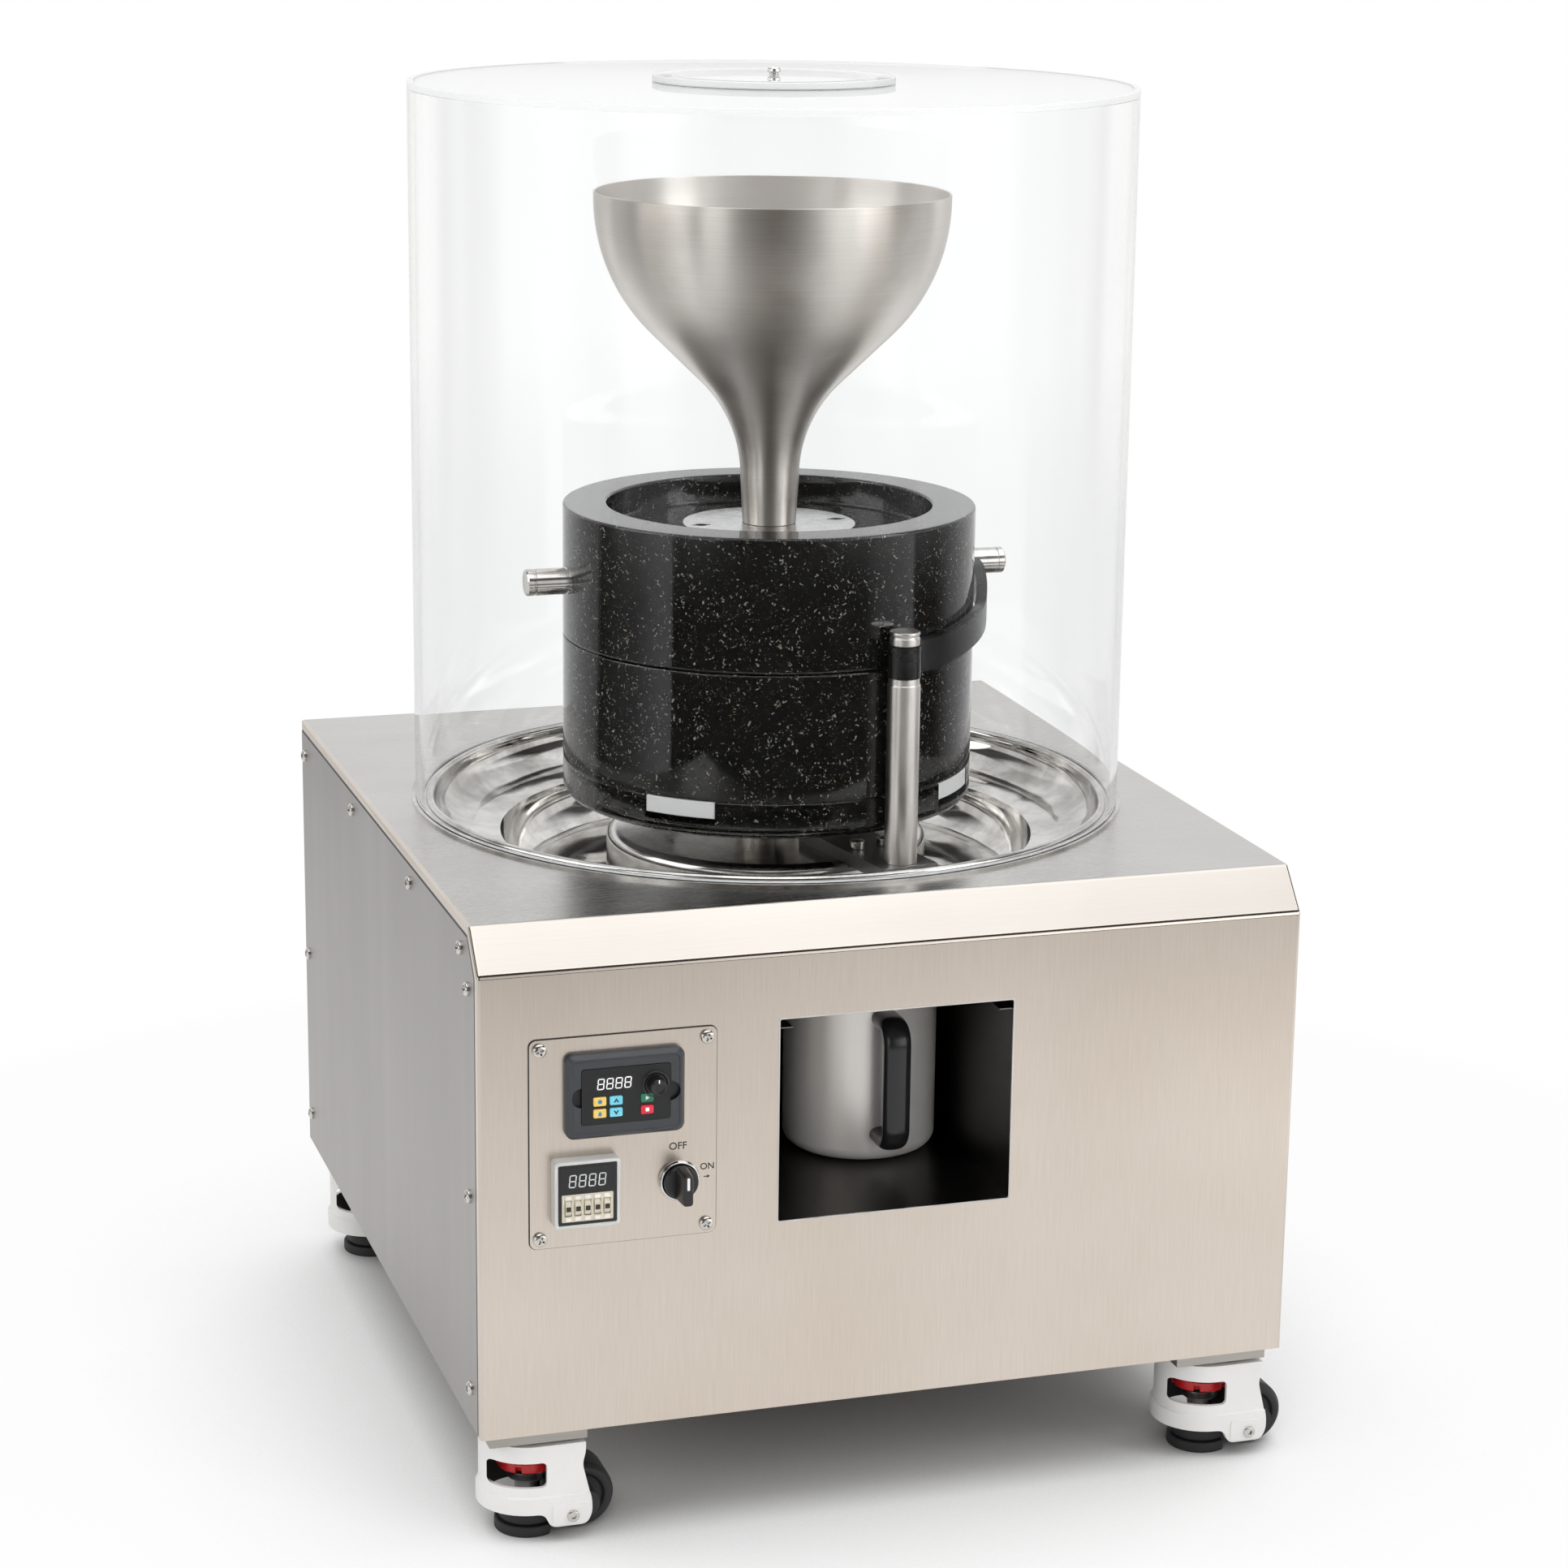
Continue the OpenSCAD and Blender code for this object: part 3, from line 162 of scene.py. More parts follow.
def spun_steel(name, gloss, dark, light, centre=(0, 0, 0), rings=1100.0, anisotropy=0.5,
               metal=1.0, bands=0.0):
    """Turned or spun steel: fine rings round an upright axis, and broad painted highlight bands across them,
    added to the colour.
    """
    finish, tree, shader = new_finish(name, {"Metallic": metal, "Anisotropic": anisotropy,
                                            "Anisotropic Rotation": 0.25})
    place = add(tree, "ShaderNodeSeparateXYZ", {0: place_of(tree, centre=centre)}).outputs
    angle = sums(tree, place["Y"], place["X"], "ARCTAN2")
    reach = sums(tree, sums(tree, place["X"], 2.0, "POWER"), sums(tree, place["Y"], 2.0, "POWER"))
    radius = sums(tree, reach, 0.5, "POWER")
    rolled = add(tree, "ShaderNodeCombineXYZ", {
        "X": sums(tree, angle, 1.6, "MULTIPLY"), "Y": sums(tree, radius, rings, "MULTIPLY"),
        "Z": sums(tree, place["Z"], rings, "MULTIPLY")}).outputs[0]
    ring = noise(tree, rolled, 1.0, 3.0, 0.6)
    cloud = noise(tree, place_of(tree), 14.0, 3.0)
    shade = weighed(tree, ring, 0.4, cloud, 0.6)
    # Painted highlight: bright bands by the turn round the axis are added to the colour.
    if bands:
        turn = weighed(tree, angle, 9.0, cloud, 1.6)
        painted_sheen = function(tree, sums(tree, turn, 0.4), "COSINE")
        shade = sums(tree, shade, sums(tree, painted_sheen, bands, "MULTIPLY"))
    paint(tree, shader, tone(tree, span(tree, shade, 0.35 - bands, 0.65 + bands, 0, 1), dark, light),
          span(tree, ring, 0.3, 0.7, gloss - 0.015, gloss + 0.02))
    tangent = add(tree, "ShaderNodeTangent", direction_type="RADIAL", axis="Z").outputs[0]
    tree.links.new(tangent, shader.inputs["Tangent"])
    relief(tree, shader, ring, 0.015, 0.00004)
    return finish


def mirror_steel(name, gloss, dark, light, blot=60.0, swell=0.25):
    """Polished steel with faint waves and wipe marks; where the blots are coarse and the tones far apart, as
    on the basin, they paint dark and bright reflections into the colour.
    """
    finish, tree, shader = new_finish(name, {"Metallic": 1.0})
    wave = noise(tree, place_of(tree), 9.0, 2.0)
    wipe = noise(tree, place_of(tree, (1, 1, 0.3)), blot, 4.0, 0.6)
    paint(tree, shader, tone(tree, span(tree, wipe, 0.35, 0.65, 0, 1), dark, light),
          span(tree, wipe, 0.35, 0.7, gloss, gloss + 0.07))
    relief(tree, shader, wave, swell, 0.002)
    return finish


def black_granite(name):
    """Polished black stone with small grey and gold flakes."""
    finish, tree, shader = new_finish(name, {"Specular IOR Level": 0.55})
    place = place_of(tree)
    bent = add(tree, "ShaderNodeMix", {0: 0.012, 4: place, 5: add(
        tree, "ShaderNodeTexNoise", {"Vector": place, "Scale": 160.0}).outputs["Color"]},
        data_type="VECTOR").outputs[1]
    cells, small = (add(tree, "ShaderNodeTexVoronoi", {"Vector": bent, "Scale": scale}, feature="F1").outputs
                    for scale in (430.0, 880.0))
    chance, other = (add(tree, "ShaderNodeSeparateColor", {0: kind["Color"]}).outputs
                     for kind in (cells, small))
    flake = span(tree, cells["Distance"], 0.18, 0.42, 1.0, 0.0)
    crowd = span(tree, noise(tree, place, 38.0, 3.0), 0.30, 0.75, 0.97, 0.64)
    chosen = sums(tree, chance["Red"], crowd, "GREATER_THAN")
    dust = span(tree, noise(tree, place, 1500.0, 3.0, 0.7), 0.64, 0.76, 0.0, 0.28)
    picked = sums(tree, other["Red"], 0.90, "GREATER_THAN")
    speck = sums(tree, span(tree, small["Distance"], 0.12, 0.40, 0.6, 0.0), picked, "MULTIPLY")
    mark = sums(tree, sums(tree, sums(tree, flake, chosen, "MULTIPLY"), dust, "MAXIMUM"), speck, "MAXIMUM")
    ground = tone(tree, noise(tree, place, 90.0, 4.0), rgb(0.004, 0.004, 0.0045), rgb(0.014, 0.014, 0.013))
    hue = tone(tree, span(tree, chance["Green"], 0.6, 1.0, 0.0, 1.0), rgb(0.27, 0.275, 0.27),
               rgb(0.27, 0.22, 0.145))
    paint(tree, shader, tone(tree, mark, ground, hue), span(tree, mark, 0.0, 1.0, 0.06, 0.22))
    relief(tree, shader, noise(tree, place, 420.0, 3.0), 0.03, 0.0002)
    return finish


def clear_acrylic(name):
    """Clear polished sheet with faint grey wipe marks."""
    finish, tree, shader = new_finish(name, {"Transmission Weight": 1.0, "IOR": 1.29, "Roughness": 0.0})
    wipe = span(tree, noise(tree, place_of(tree, (1, 1, 0.25)), 22.0, 3.0), 0.35, 0.7, 0.0, 1.0)
    paint(tree, shader, tone(tree, wipe, rgb(0.975, 0.98, 0.98), rgb(0.99, 0.993, 0.993)))
    return finish


def sawn_acrylic(name):
    """Edge of a clear sheet, sanded matt and pale."""
    finish, tree, shader = new_finish(name, {"IOR": 1.49})
    grain = noise(tree, place_of(tree, (1, 1, 3)), 240.0, 3.0)
    paint(tree, shader, tone(tree, grain, rgb(0.86, 0.875, 0.875), rgb(0.94, 0.945, 0.945)),
          span(tree, grain, 0.3, 0.7, 0.30, 0.45))
    return finish


def moulded(name, colour, gloss, grain=2600.0, depth=0.00008, spread=0.12):
    """Moulded or painted surface: a fine grain, a little colour variation."""
    finish, tree, shader = new_finish(name, {})
    fine = noise(tree, place_of(tree), grain, 2.0)
    cloud = noise(tree, place_of(tree), 45.0, 3.0)
    dark = rgb(*(c * (1 - spread) for c in colour))
    light = rgb(*(min(1.0, c * (1 + spread)) for c in colour))
    paint(tree, shader, tone(tree, cloud, dark, light),
          span(tree, cloud, 0.3, 0.7, gloss - 0.05, gloss + 0.05))
    relief(tree, shader, fine, 0.15, depth)
    return finish


def lit_figure(name, colour, glow):
    """Glowing figure of a display, slightly uneven."""
    finish, tree, shader = new_finish(name, {"Emission Strength": glow, "Roughness": 0.4})
    wash = tone(tree, noise(tree, place_of(tree), 600.0), rgb(*(c * 0.93 for c in colour)), rgb(*colour))
    paint(tree, shader, wash)
    tree.links.new(wash, shader.inputs["Emission Color"])
    return finish


# Lit and shaded copies of one brushed stainless: the sides' colour is painted far darker than the front's,
# and the top, slope and bends a little darker, as painted light and shade for how the light falls on each
# face.
WARM_DARK, WARM_LIGHT = rgb(0.645, 0.56, 0.48), rgb(0.745, 0.67, 0.595)
COOL_DARK, COOL_LIGHT = rgb(0.50, 0.485, 0.47), rgb(0.60, 0.585, 0.57)
front_steel = brushed_sheet("front_steel", (900, 900, 26), WARM_DARK, WARM_LIGHT, 0.30)
top_steel = brushed_sheet("top_steel", (22, 900, 900), COOL_DARK, COOL_LIGHT, 0.27)
bend_steel = brushed_sheet("bend_steel", (22, 22, 22), rgb(0.58, 0.525, 0.47), rgb(0.66, 0.605, 0.55), 0.13)
slope_steel = brushed_sheet("slope_steel", (22, 900, 900), rgb(0.56, 0.525, 0.485),
                            rgb(0.63, 0.595, 0.555), 0.30)
shaded_side_steel = brushed_sheet("shaded_side_steel", (900, 900, 22), rgb(0.34, 0.322, 0.308),
                           rgb(0.41, 0.392, 0.378), 0.36)
# Painted shade and light in the mug pocket: a very dark copy of the steel for its shaded walls, and a bright
# one for the wall that faces the light.
pocket_shaded_steel = brushed_sheet("pocket_shaded_steel", (700, 30, 700), rgb(0.042, 0.039, 0.035),
                             rgb(0.09, 0.084, 0.077), 0.34)
pocket_lit_steel = brushed_sheet("pocket_lit_steel", (700, 30, 700), rgb(0.62, 0.59, 0.555),
                              rgb(0.74, 0.71, 0.675), 0.36)
dark_steel = brushed_sheet("dark_steel", (300, 300, 300), rgb(0.20, 0.195, 0.19), rgb(0.30, 0.29, 0.28), 0.40)
plate_steel = brushed_sheet("caster_plate_steel", (40, 700, 700), rgb(0.36, 0.34, 0.31),
                            rgb(0.48, 0.455, 0.42), 0.42)
# The funnel's tones run from very dark to very light, with painted highlight bands, so its reflections are
# partly painted into the colour.
funnel_steel = spun_steel("funnel_steel", 0.37, rgb(0.36, 0.325, 0.29), rgb(0.88, 0.845, 0.805),
                          rings=2200.0, anisotropy=0.95, bands=0.4)
# Painted light: a brighter, less metallic copy of the funnel steel for the bowl's inside.
funnel_lit_inside = spun_steel("funnel_lit_inside", 0.36, rgb(0.74, 0.71, 0.68), rgb(0.86, 0.83, 0.80),
                           rings=2200.0, anisotropy=0.8, metal=0.7)
shaft_steel = spun_steel("shaft_steel", 0.24, rgb(0.50, 0.48, 0.45), rgb(0.66, 0.63, 0.60))
post_steel = spun_steel("post_steel", 0.34, rgb(0.70, 0.67, 0.64), rgb(0.82, 0.79, 0.76),
                        (52.5, -161.7, 0), 2600.0, 0.6)
mug_steel = spun_steel("mug_steel", 0.30, rgb(0.74, 0.715, 0.685), rgb(0.81, 0.785, 0.755),
                       (20, -172.2, 0), 9000.0, 0.3, 0.62)
pin_steel = mirror_steel("pin_steel", 0.13, rgb(0.56, 0.54, 0.52), rgb(0.68, 0.66, 0.64))
screw_steel = mirror_steel("screw_steel", 0.16, rgb(0.55, 0.53, 0.50), rgb(0.70, 0.68, 0.65))
# Painted reflection: the basin's coarse blots, from a far darker to a far lighter tone, stand in for dark and
# bright reflections.
basin_steel = mirror_steel("basin_steel", 0.04, rgb(0.36, 0.35, 0.33), rgb(0.70, 0.685, 0.665), 20.0, 0.9)
pedestal_steel = mirror_steel("pedestal_steel", 0.16, rgb(0.62, 0.61, 0.59), rgb(0.72, 0.71, 0.69))
chrome = mirror_steel("chrome", 0.08, rgb(0.68, 0.68, 0.68), rgb(0.80, 0.80, 0.80))
feed_steel = mirror_steel("feed_steel", 0.22, rgb(0.60, 0.60, 0.60), rgb(0.74, 0.74, 0.74))
granite = black_granite("black_granite")
clear = clear_acrylic("clear_acrylic")
clear_edge = sawn_acrylic("clear_edge")
black_plastic = moulded("black_plastic", (0.011, 0.011, 0.012), 0.30)
grip_black = moulded("grip_black", (0.010, 0.010, 0.011), 0.20, 1800.0, 0.00003)
keypad_black = moulded("keypad_black", (0.0065, 0.0068, 0.0075), 0.40, 3200.0, 0.00003)
arm_black = moulded("arm_black", (0.012, 0.012, 0.012), 0.25, 900.0, 0.00006)
surround_grey = moulded("surround_grey", (0.036, 0.040, 0.045), 0.36)
window_black = moulded("display_window", (0.008, 0.008, 0.009), 0.12, 3200.0, 0.00001)
frame_clear = moulded("timer_frame", (0.56, 0.56, 0.55), 0.16, 600.0, 0.00002, 0.06)
timer_black = moulded("timer_face", (0.011, 0.011, 0.012), 0.33)
ivory = moulded("ivory_plastic", (0.60, 0.55, 0.44), 0.40, spread=0.08)
tab_white = moulded("tab_white", (0.78, 0.76, 0.70), 0.38, spread=0.05)
nylon = moulded("white_nylon", (0.88, 0.89, 0.885), 0.38, 900.0, 0.0001, 0.05)
white_paint = moulded("white_paint", (0.85, 0.84, 0.825), 0.34, 700.0, 0.00012, 0.04)
# Painted shade for the inside of the caster housings.
housing_painted_shade = moulded("housing_painted_shade", (0.03, 0.03, 0.031), 0.6, spread=0.2)
red_plastic = moulded("red_plastic", (0.62, 0.018, 0.02), 0.30, spread=0.1)
rubber = moulded("black_rubber", (0.016, 0.016, 0.017), 0.58, 1400.0, 0.0002, 0.2)
motor_paint = moulded("motor_paint", (0.10, 0.16, 0.24), 0.45, 900.0, 0.0002)
key_yellow = moulded("key_yellow", (0.80, 0.55, 0.13), 0.36, spread=0.06)
key_blue = moulded("key_blue", (0.16, 0.60, 0.74), 0.36, spread=0.06)
key_green = moulded("key_green", (0.012, 0.16, 0.085), 0.36, spread=0.08)
key_red = moulded("key_red", (0.66, 0.02, 0.045), 0.36, spread=0.08)
mark_white = moulded("mark_white", (0.80, 0.80, 0.79), 0.45, spread=0.04)
# Dark print for signs, words and marks; the same dark also paints shade in the cabinet's joints and round the
# control plate.
dark_print_and_shade = moulded("dark_print_and_shade", (0.02, 0.02, 0.022), 0.5, spread=0.2)
mark_blue = moulded("mark_blue", (0.05, 0.20, 0.42), 0.45, spread=0.1)
figure_white = lit_figure("figure_white", (0.82, 0.82, 0.80), 0.35)
figure_grey = lit_figure("figure_grey", (0.55, 0.56, 0.56), 0.12)


# Mesh helpers

def linked(name, data):
    """A new object in the scene."""
    made = bpy.data.objects.new(name, data)
    scene.collection.objects.link(made)
    return made


def mesh_of(bm, name):
    """The mesh of a finished bmesh, which is freed."""
    mesh = bpy.data.meshes.new(name)
    bm.to_mesh(mesh)
    bm.free()
    return mesh


def plain_mesh(piece):
    """The evaluated mesh of a piece, with its modifiers applied and removed."""
    bpy.context.view_layer.update()
    mesh = bpy.data.meshes.new_from_object(piece.evaluated_get(bpy.context.evaluated_depsgraph_get()))
    piece.modifiers.clear()
    return mesh


def outward(mesh, merge=0.000001):
    """Merges doubles and turns every face outwards."""
    bm = bmesh.new()
    bm.from_mesh(mesh)
    bmesh.ops.remove_doubles(bm, verts=bm.verts, dist=merge)
    bmesh.ops.dissolve_degenerate(bm, edges=bm.edges, dist=1e-7)
    bmesh.ops.recalc_face_normals(bm, faces=bm.faces)
    bm.to_mesh(mesh)
    bm.free()
    return mesh


def soft_edges(piece, width, steps, limit):
    edge = piece.modifiers.new("soft_edges", "BEVEL")
    edge.width, edge.segments = width * MM, steps
    edge.limit_method, edge.angle_limit = "ANGLE", math.radians(limit)
    edge.harden_normals = True


def settle(name, mesh, finish, body, nodes=(), soft=0.0, steps=2, crease=35):
    """A finished piece: soft edges, smooth shading, its body and the nodes it stands for."""
    piece = linked(name, mesh)
    if not mesh.materials:
        mesh.materials.append(finish)
    mesh.polygons.foreach_set("use_smooth", [True] * len(mesh.polygons))
    if soft:
        soft_edges(piece, soft, steps, crease)
    else:
        mesh.set_sharp_from_angle(angle=math.radians(crease))
    flat = piece.modifiers.new("flat_faces", "WEIGHTED_NORMAL")
    flat.keep_sharp = True
    piece.data = plain_mesh(piece)
    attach(piece, body)
    if nodes:
        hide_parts(*nodes)
    return piece


def cut(mesh, *cutters):
    """Takes the cutters' volumes out of a mesh."""
    body, tools = linked("blank", mesh), [linked("cutter", shape) for shape in cutters]
    for tool in tools:
        step = body.modifiers.new("cut", "BOOLEAN")
        step.operation, step.solver, step.object = "DIFFERENCE", "EXACT", tool
    result = plain_mesh(body)
    for used in [body] + tools:
        bpy.data.objects.remove(used)
    return result


def joined(*meshes):
    """One mesh from several; it has no finish until it is settled or painted."""
    bm = bmesh.new()
    for mesh in meshes:
        bm.from_mesh(mesh)
    return mesh_of(bm, "joined")


def painted(mesh, finishes, choose):
    """Gives each face one of the finishes, by a rule on its middle in millimetres and its normal."""
    mesh.materials.clear()
    for finish in finishes:
        mesh.materials.append(finish)
    for face in mesh.polygons:
        face.material_index = int(choose(face.center / MM, face.normal))
    return mesh


def moved(mesh, x, y):
    other = mesh.copy()
    other.transform(Matrix.Translation((x * MM, y * MM, 0.0)))
    return other


def copy_of(node):
    """A merged copy of a CAD node, its flat faces joined into whole faces."""
    bm = bmesh.new()
    bm.from_mesh(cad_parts[node].data)
    bmesh.ops.remove_doubles(bm, verts=bm.verts, dist=0.000002)
    bmesh.ops.dissolve_limit(bm, angle_limit=math.radians(0.4), verts=bm.verts, edges=bm.edges)
    return mesh_of(bm, node + "_copy")


def dressed(node, name, finish, body, soft, steps=2, crease=40):
    """A CAD node's own shape with soft edges and a better finish."""
    return settle(name, copy_of(node), finish, body, (node,), soft, steps, crease)


def box_line(x0, y0, x1, y1):
    """Outline of a plain rectangle, anticlockwise."""
    return [(x0, y0), (x1, y0), (x1, y1), (x0, y1)]


def swung(line, degrees):
    """An outline turned about the origin."""
    c, s = math.cos(math.radians(degrees)), math.sin(math.radians(degrees))
    return [(u * c - v * s, u * s + v * c) for u, v in line]


def rounded(w, h, r, centre=(0, 0), steps=6):
    """Outline of a rectangle with round corners, anticlockwise."""
    line = []
    for cx, cz, start in ((1, 1, 0), (-1, 1, 90), (-1, -1, 180), (1, -1, 270)):
        for i in range(steps + 1):
            a = math.radians(start + 90 * i / steps)
            line.append((centre[0] + cx * (w / 2 - r) + r * math.cos(a),
                         centre[1] + cz * (h / 2 - r) + r * math.sin(a)))
    return line


def round_line(r, centre=(0, 0), sides=32):
    return [(centre[0] + r * math.cos(2 * math.pi * i / sides),
             centre[1] + r * math.sin(2 * math.pi * i / sides)) for i in range(sides)]


def shell(rings):
    """A closed shell through rings of equal count, in millimetres, capped at both ends."""
    bm = bmesh.new()
    made = [[bm.verts.new((x * MM, y * MM, z * MM)) for x, y, z in ring] for ring in rings]
    bm.faces.new(made[0])
    bm.faces.new(made[-1][::-1])
    for first, second in zip(made, made[1:]):
        count = len(first)
        for i in range(count):
            bm.faces.new((first[i], first[(i + 1) % count], second[(i + 1) % count], second[i]))
    bmesh.ops.recalc_face_normals(bm, faces=bm.faces)
    return mesh_of(bm, "shell")


def ring_loft(levels):
    """A shell through outlines in x and z, each with its own depth."""
    return shell([[(x, y, z) for x, z in line] for line, y in levels])


def front_block(outline, back, front):
    """A flat piece on the cabinet's front: an outline in x and z, from one depth to another."""
    return ring_loft([(outline, back), (outline, front)])


LAID = Matrix(((1, 0, 0, 0), (0, 0, 1, 0), (0, -1, 0, 0), (0, 0, 0, 1)))


def upright_block(outline, low, high):
    """A flat piece lying in plan: an outline in x and y, from one height to another."""
    mesh = front_block(outline, -low, -high)
    mesh.transform(LAID)
    return outward(mesh)


def eased(points, radius, steps=4, closed=False):
    """A line with its corners rounded."""
    out, count = [], len(points)
    for i, here in enumerate(points):
        if not closed and i in (0, count - 1):
            out.append(here)
            continue
        before, after = Vector(points[i - 1]), Vector(points[(i + 1) % count])
        corner = Vector(here)
        reach_in, reach_out = (before - corner).length, (after - corner).length
        size = min(radius, reach_in * 0.45, reach_out * 0.45)
        start = corner + (before - corner) * (size / reach_in)
        end = corner + (after - corner) * (size / reach_out)
        for k in range(steps + 1):
            t = k / steps
            point = start * (1 - t) ** 2 + corner * 2 * t * (1 - t) + end * t * t
            out.append(tuple(point))
    return out


def arc(cx, cz, rx, rz, start, end, steps=10):
    """Points of a round or oval arc, angles in degrees."""
    return [(cx + rx * math.cos(math.radians(start + (end - start) * i / steps)),
             cz + rz * math.sin(math.radians(start + (end - start) * i / steps)))
            for i in range(steps + 1)]


# Geometry Nodes: turned shapes, and pieces set out on points

def open_tree(name, *inputs):
    """A new tree with its named inputs and its output."""
    tree = bpy.data.node_groups.new(name, "GeometryNodeTree")
    for label, kind in inputs + (("Finish", "Material"),):
        tree.interface.new_socket(label, in_out="INPUT", socket_type="NodeSocket" + kind)
    tree.interface.new_socket("Piece", in_out="OUTPUT", socket_type="NodeSocketGeometry")
    return tree, add(tree, "NodeGroupInput").outputs


def close_tree(tree, given, shape):
    """Makes the shape real, gives it its finish and ends the tree."""
    real = add(tree, "GeometryNodeRealizeInstances", {"Geometry": shape}).outputs[0]
    done = add(tree, "GeometryNodeSetMaterial", {"Geometry": real, "Material": given["Finish"]}).outputs[0]
    add(tree, "NodeGroupOutput", {"Piece": done})
    return tree


def turned_tree():
    """Turns a section of points (radius in x, height in z) round the upright axis."""
    tree, given = open_tree("turned_shape", ("Section", "Geometry"), ("Sides", "Int"))
    count = add(tree, "GeometryNodeAttributeDomainSize",
                {"Geometry": given["Section"]}).outputs["Point Count"]
    grid = add(tree, "GeometryNodeMeshGrid", {"Vertices X": sums(tree, given["Sides"], 1.0),
                                              "Vertices Y": count}).outputs["Mesh"]
    index = add(tree, "GeometryNodeInputIndex").outputs[0]
    along = sums(tree, index, count, "MODULO")
    turn = function(tree, sums(tree, index, count, "DIVIDE"), "FLOOR")
    spot = add(tree, "GeometryNodeSampleIndex", {
        "Geometry": given["Section"], "Value": add(tree, "GeometryNodeInputPosition").outputs[0],
        "Index": along}, data_type="FLOAT_VECTOR").outputs[0]
    parts = add(tree, "ShaderNodeSeparateXYZ", {0: spot}).outputs
    angle = sums(tree, sums(tree, turn, 2 * math.pi, "MULTIPLY"), given["Sides"], "DIVIDE")
    place = add(tree, "ShaderNodeCombineXYZ", {
        "X": sums(tree, parts["X"], function(tree, angle, "COSINE"), "MULTIPLY"),
        "Y": sums(tree, parts["X"], function(tree, angle, "SINE"), "MULTIPLY"),
        "Z": parts["Z"]}).outputs[0]
    shaped = add(tree, "GeometryNodeSetPosition", {"Geometry": grid, "Position": place}).outputs[0]
    whole = add(tree, "GeometryNodeMergeByDistance", {"Geometry": shaped, "Distance": 0.000002}).outputs[0]
    return close_tree(tree, given, whole)


def set_out_tree():
    """Puts a template on every point, turned to the point's facing and by a random angle."""
    tree, given = open_tree("set_out", ("Places", "Geometry"), ("Template", "Object"), ("Turn", "Float"),
                            ("Seed", "Int"))
    facing = add(tree, "GeometryNodeInputNamedAttribute", {"Name": "facing"},
                 data_type="FLOAT_VECTOR").outputs["Attribute"]
    aimed = add(tree, "FunctionNodeAlignRotationToVector", {"Vector": facing}, axis="Z").outputs[0]
    spin = add(tree, "FunctionNodeRandomValue", {"Max": given["Turn"], "Seed": given["Seed"]},
               data_type="FLOAT")
    roll = add(tree, "ShaderNodeCombineXYZ", {"Z": [o for o in spin.outputs if o.enabled][0]}).outputs[0]
    turned_to = add(tree, "FunctionNodeRotateRotation", {"Rotation": aimed, "Rotate By": roll},
                    rotation_space="LOCAL").outputs[0]
    shape = add(tree, "GeometryNodeObjectInfo", {"Object": given["Template"]}).outputs["Geometry"]
    copies = add(tree, "GeometryNodeInstanceOnPoints", {
        "Points": given["Places"], "Instance": shape, "Rotation": turned_to}).outputs[0]
    return close_tree(tree, given, copies)


TURNED, SET_OUT = turned_tree(), set_out_tree()


def run_tree(tree, mesh, values):
    """Runs a tree on a mesh with its named inputs and gives back the plain result."""
    holder = linked("holder", mesh)
    step = holder.modifiers.new(tree.name, "NODES")
    step.node_group = tree
    for socket in tree.interface.items_tree:
        if socket.in_out == "INPUT" and socket.name in values:
            step[socket.identifier] = values[socket.name]
    result = plain_mesh(holder)
    if len(result.materials) > 1 and result.materials[0] is None:
        result.materials.pop(index=0)
    bpy.data.objects.remove(holder)
    return result


AIMS = {"up": Matrix.Identity(3), "front": Matrix(((1, 0, 0), (0, 0, -1), (0, 1, 0))),
        "left": Matrix(((0, 0, -1), (0, 1, 0), (1, 0, 0))),
        "right": Matrix(((0, 0, 1), (0, 1, 0), (-1, 0, 0)))}


def turned(section, finish, sides=96, at=(0, 0, 0), aim="up", loop=False):
    """A turned shape from a section of radius and height, set at a place and aimed along an axis."""
    line = list(section) + ([section[0]] if loop else [])
    mesh = bpy.data.meshes.new("section")
    mesh.from_pydata([(r * MM, 0.0, z * MM) for r, z in line], [], [])
    made = run_tree(TURNED, mesh, {"Sides": sides, "Finish": finish})
    made.transform(Matrix.Translation(Vector(at) * MM) @ AIMS[aim].to_4x4())
    return outward(made)


def round_bar(r, low, high, finish, sides, at=(0, 0, 0), aim="up"):
    """A plain round bar, or the cutter for a bore."""
    return turned([(0, low), (r, low), (r, high), (0, high)], finish, sides, at, aim)


def set_out(template, places, facings, finish, turn=0.0, seed=3):
    """Copies of a template mesh at places in millimetres, each aimed along its facing."""
    mesh = bpy.data.meshes.new("places")
    mesh.from_pydata([Vector(p) * MM for p in places], [], [])
    facing = mesh.attributes.new("facing", "FLOAT_VECTOR", "POINT")
    facing.data.foreach_set("vector", [c for f in facings for c in f])
    pattern = linked("template", template)
    made = run_tree(SET_OUT, mesh, {"Template": pattern, "Turn": turn, "Seed": seed, "Finish": finish})
    bpy.data.objects.remove(pattern)
    return made


# Cabinet

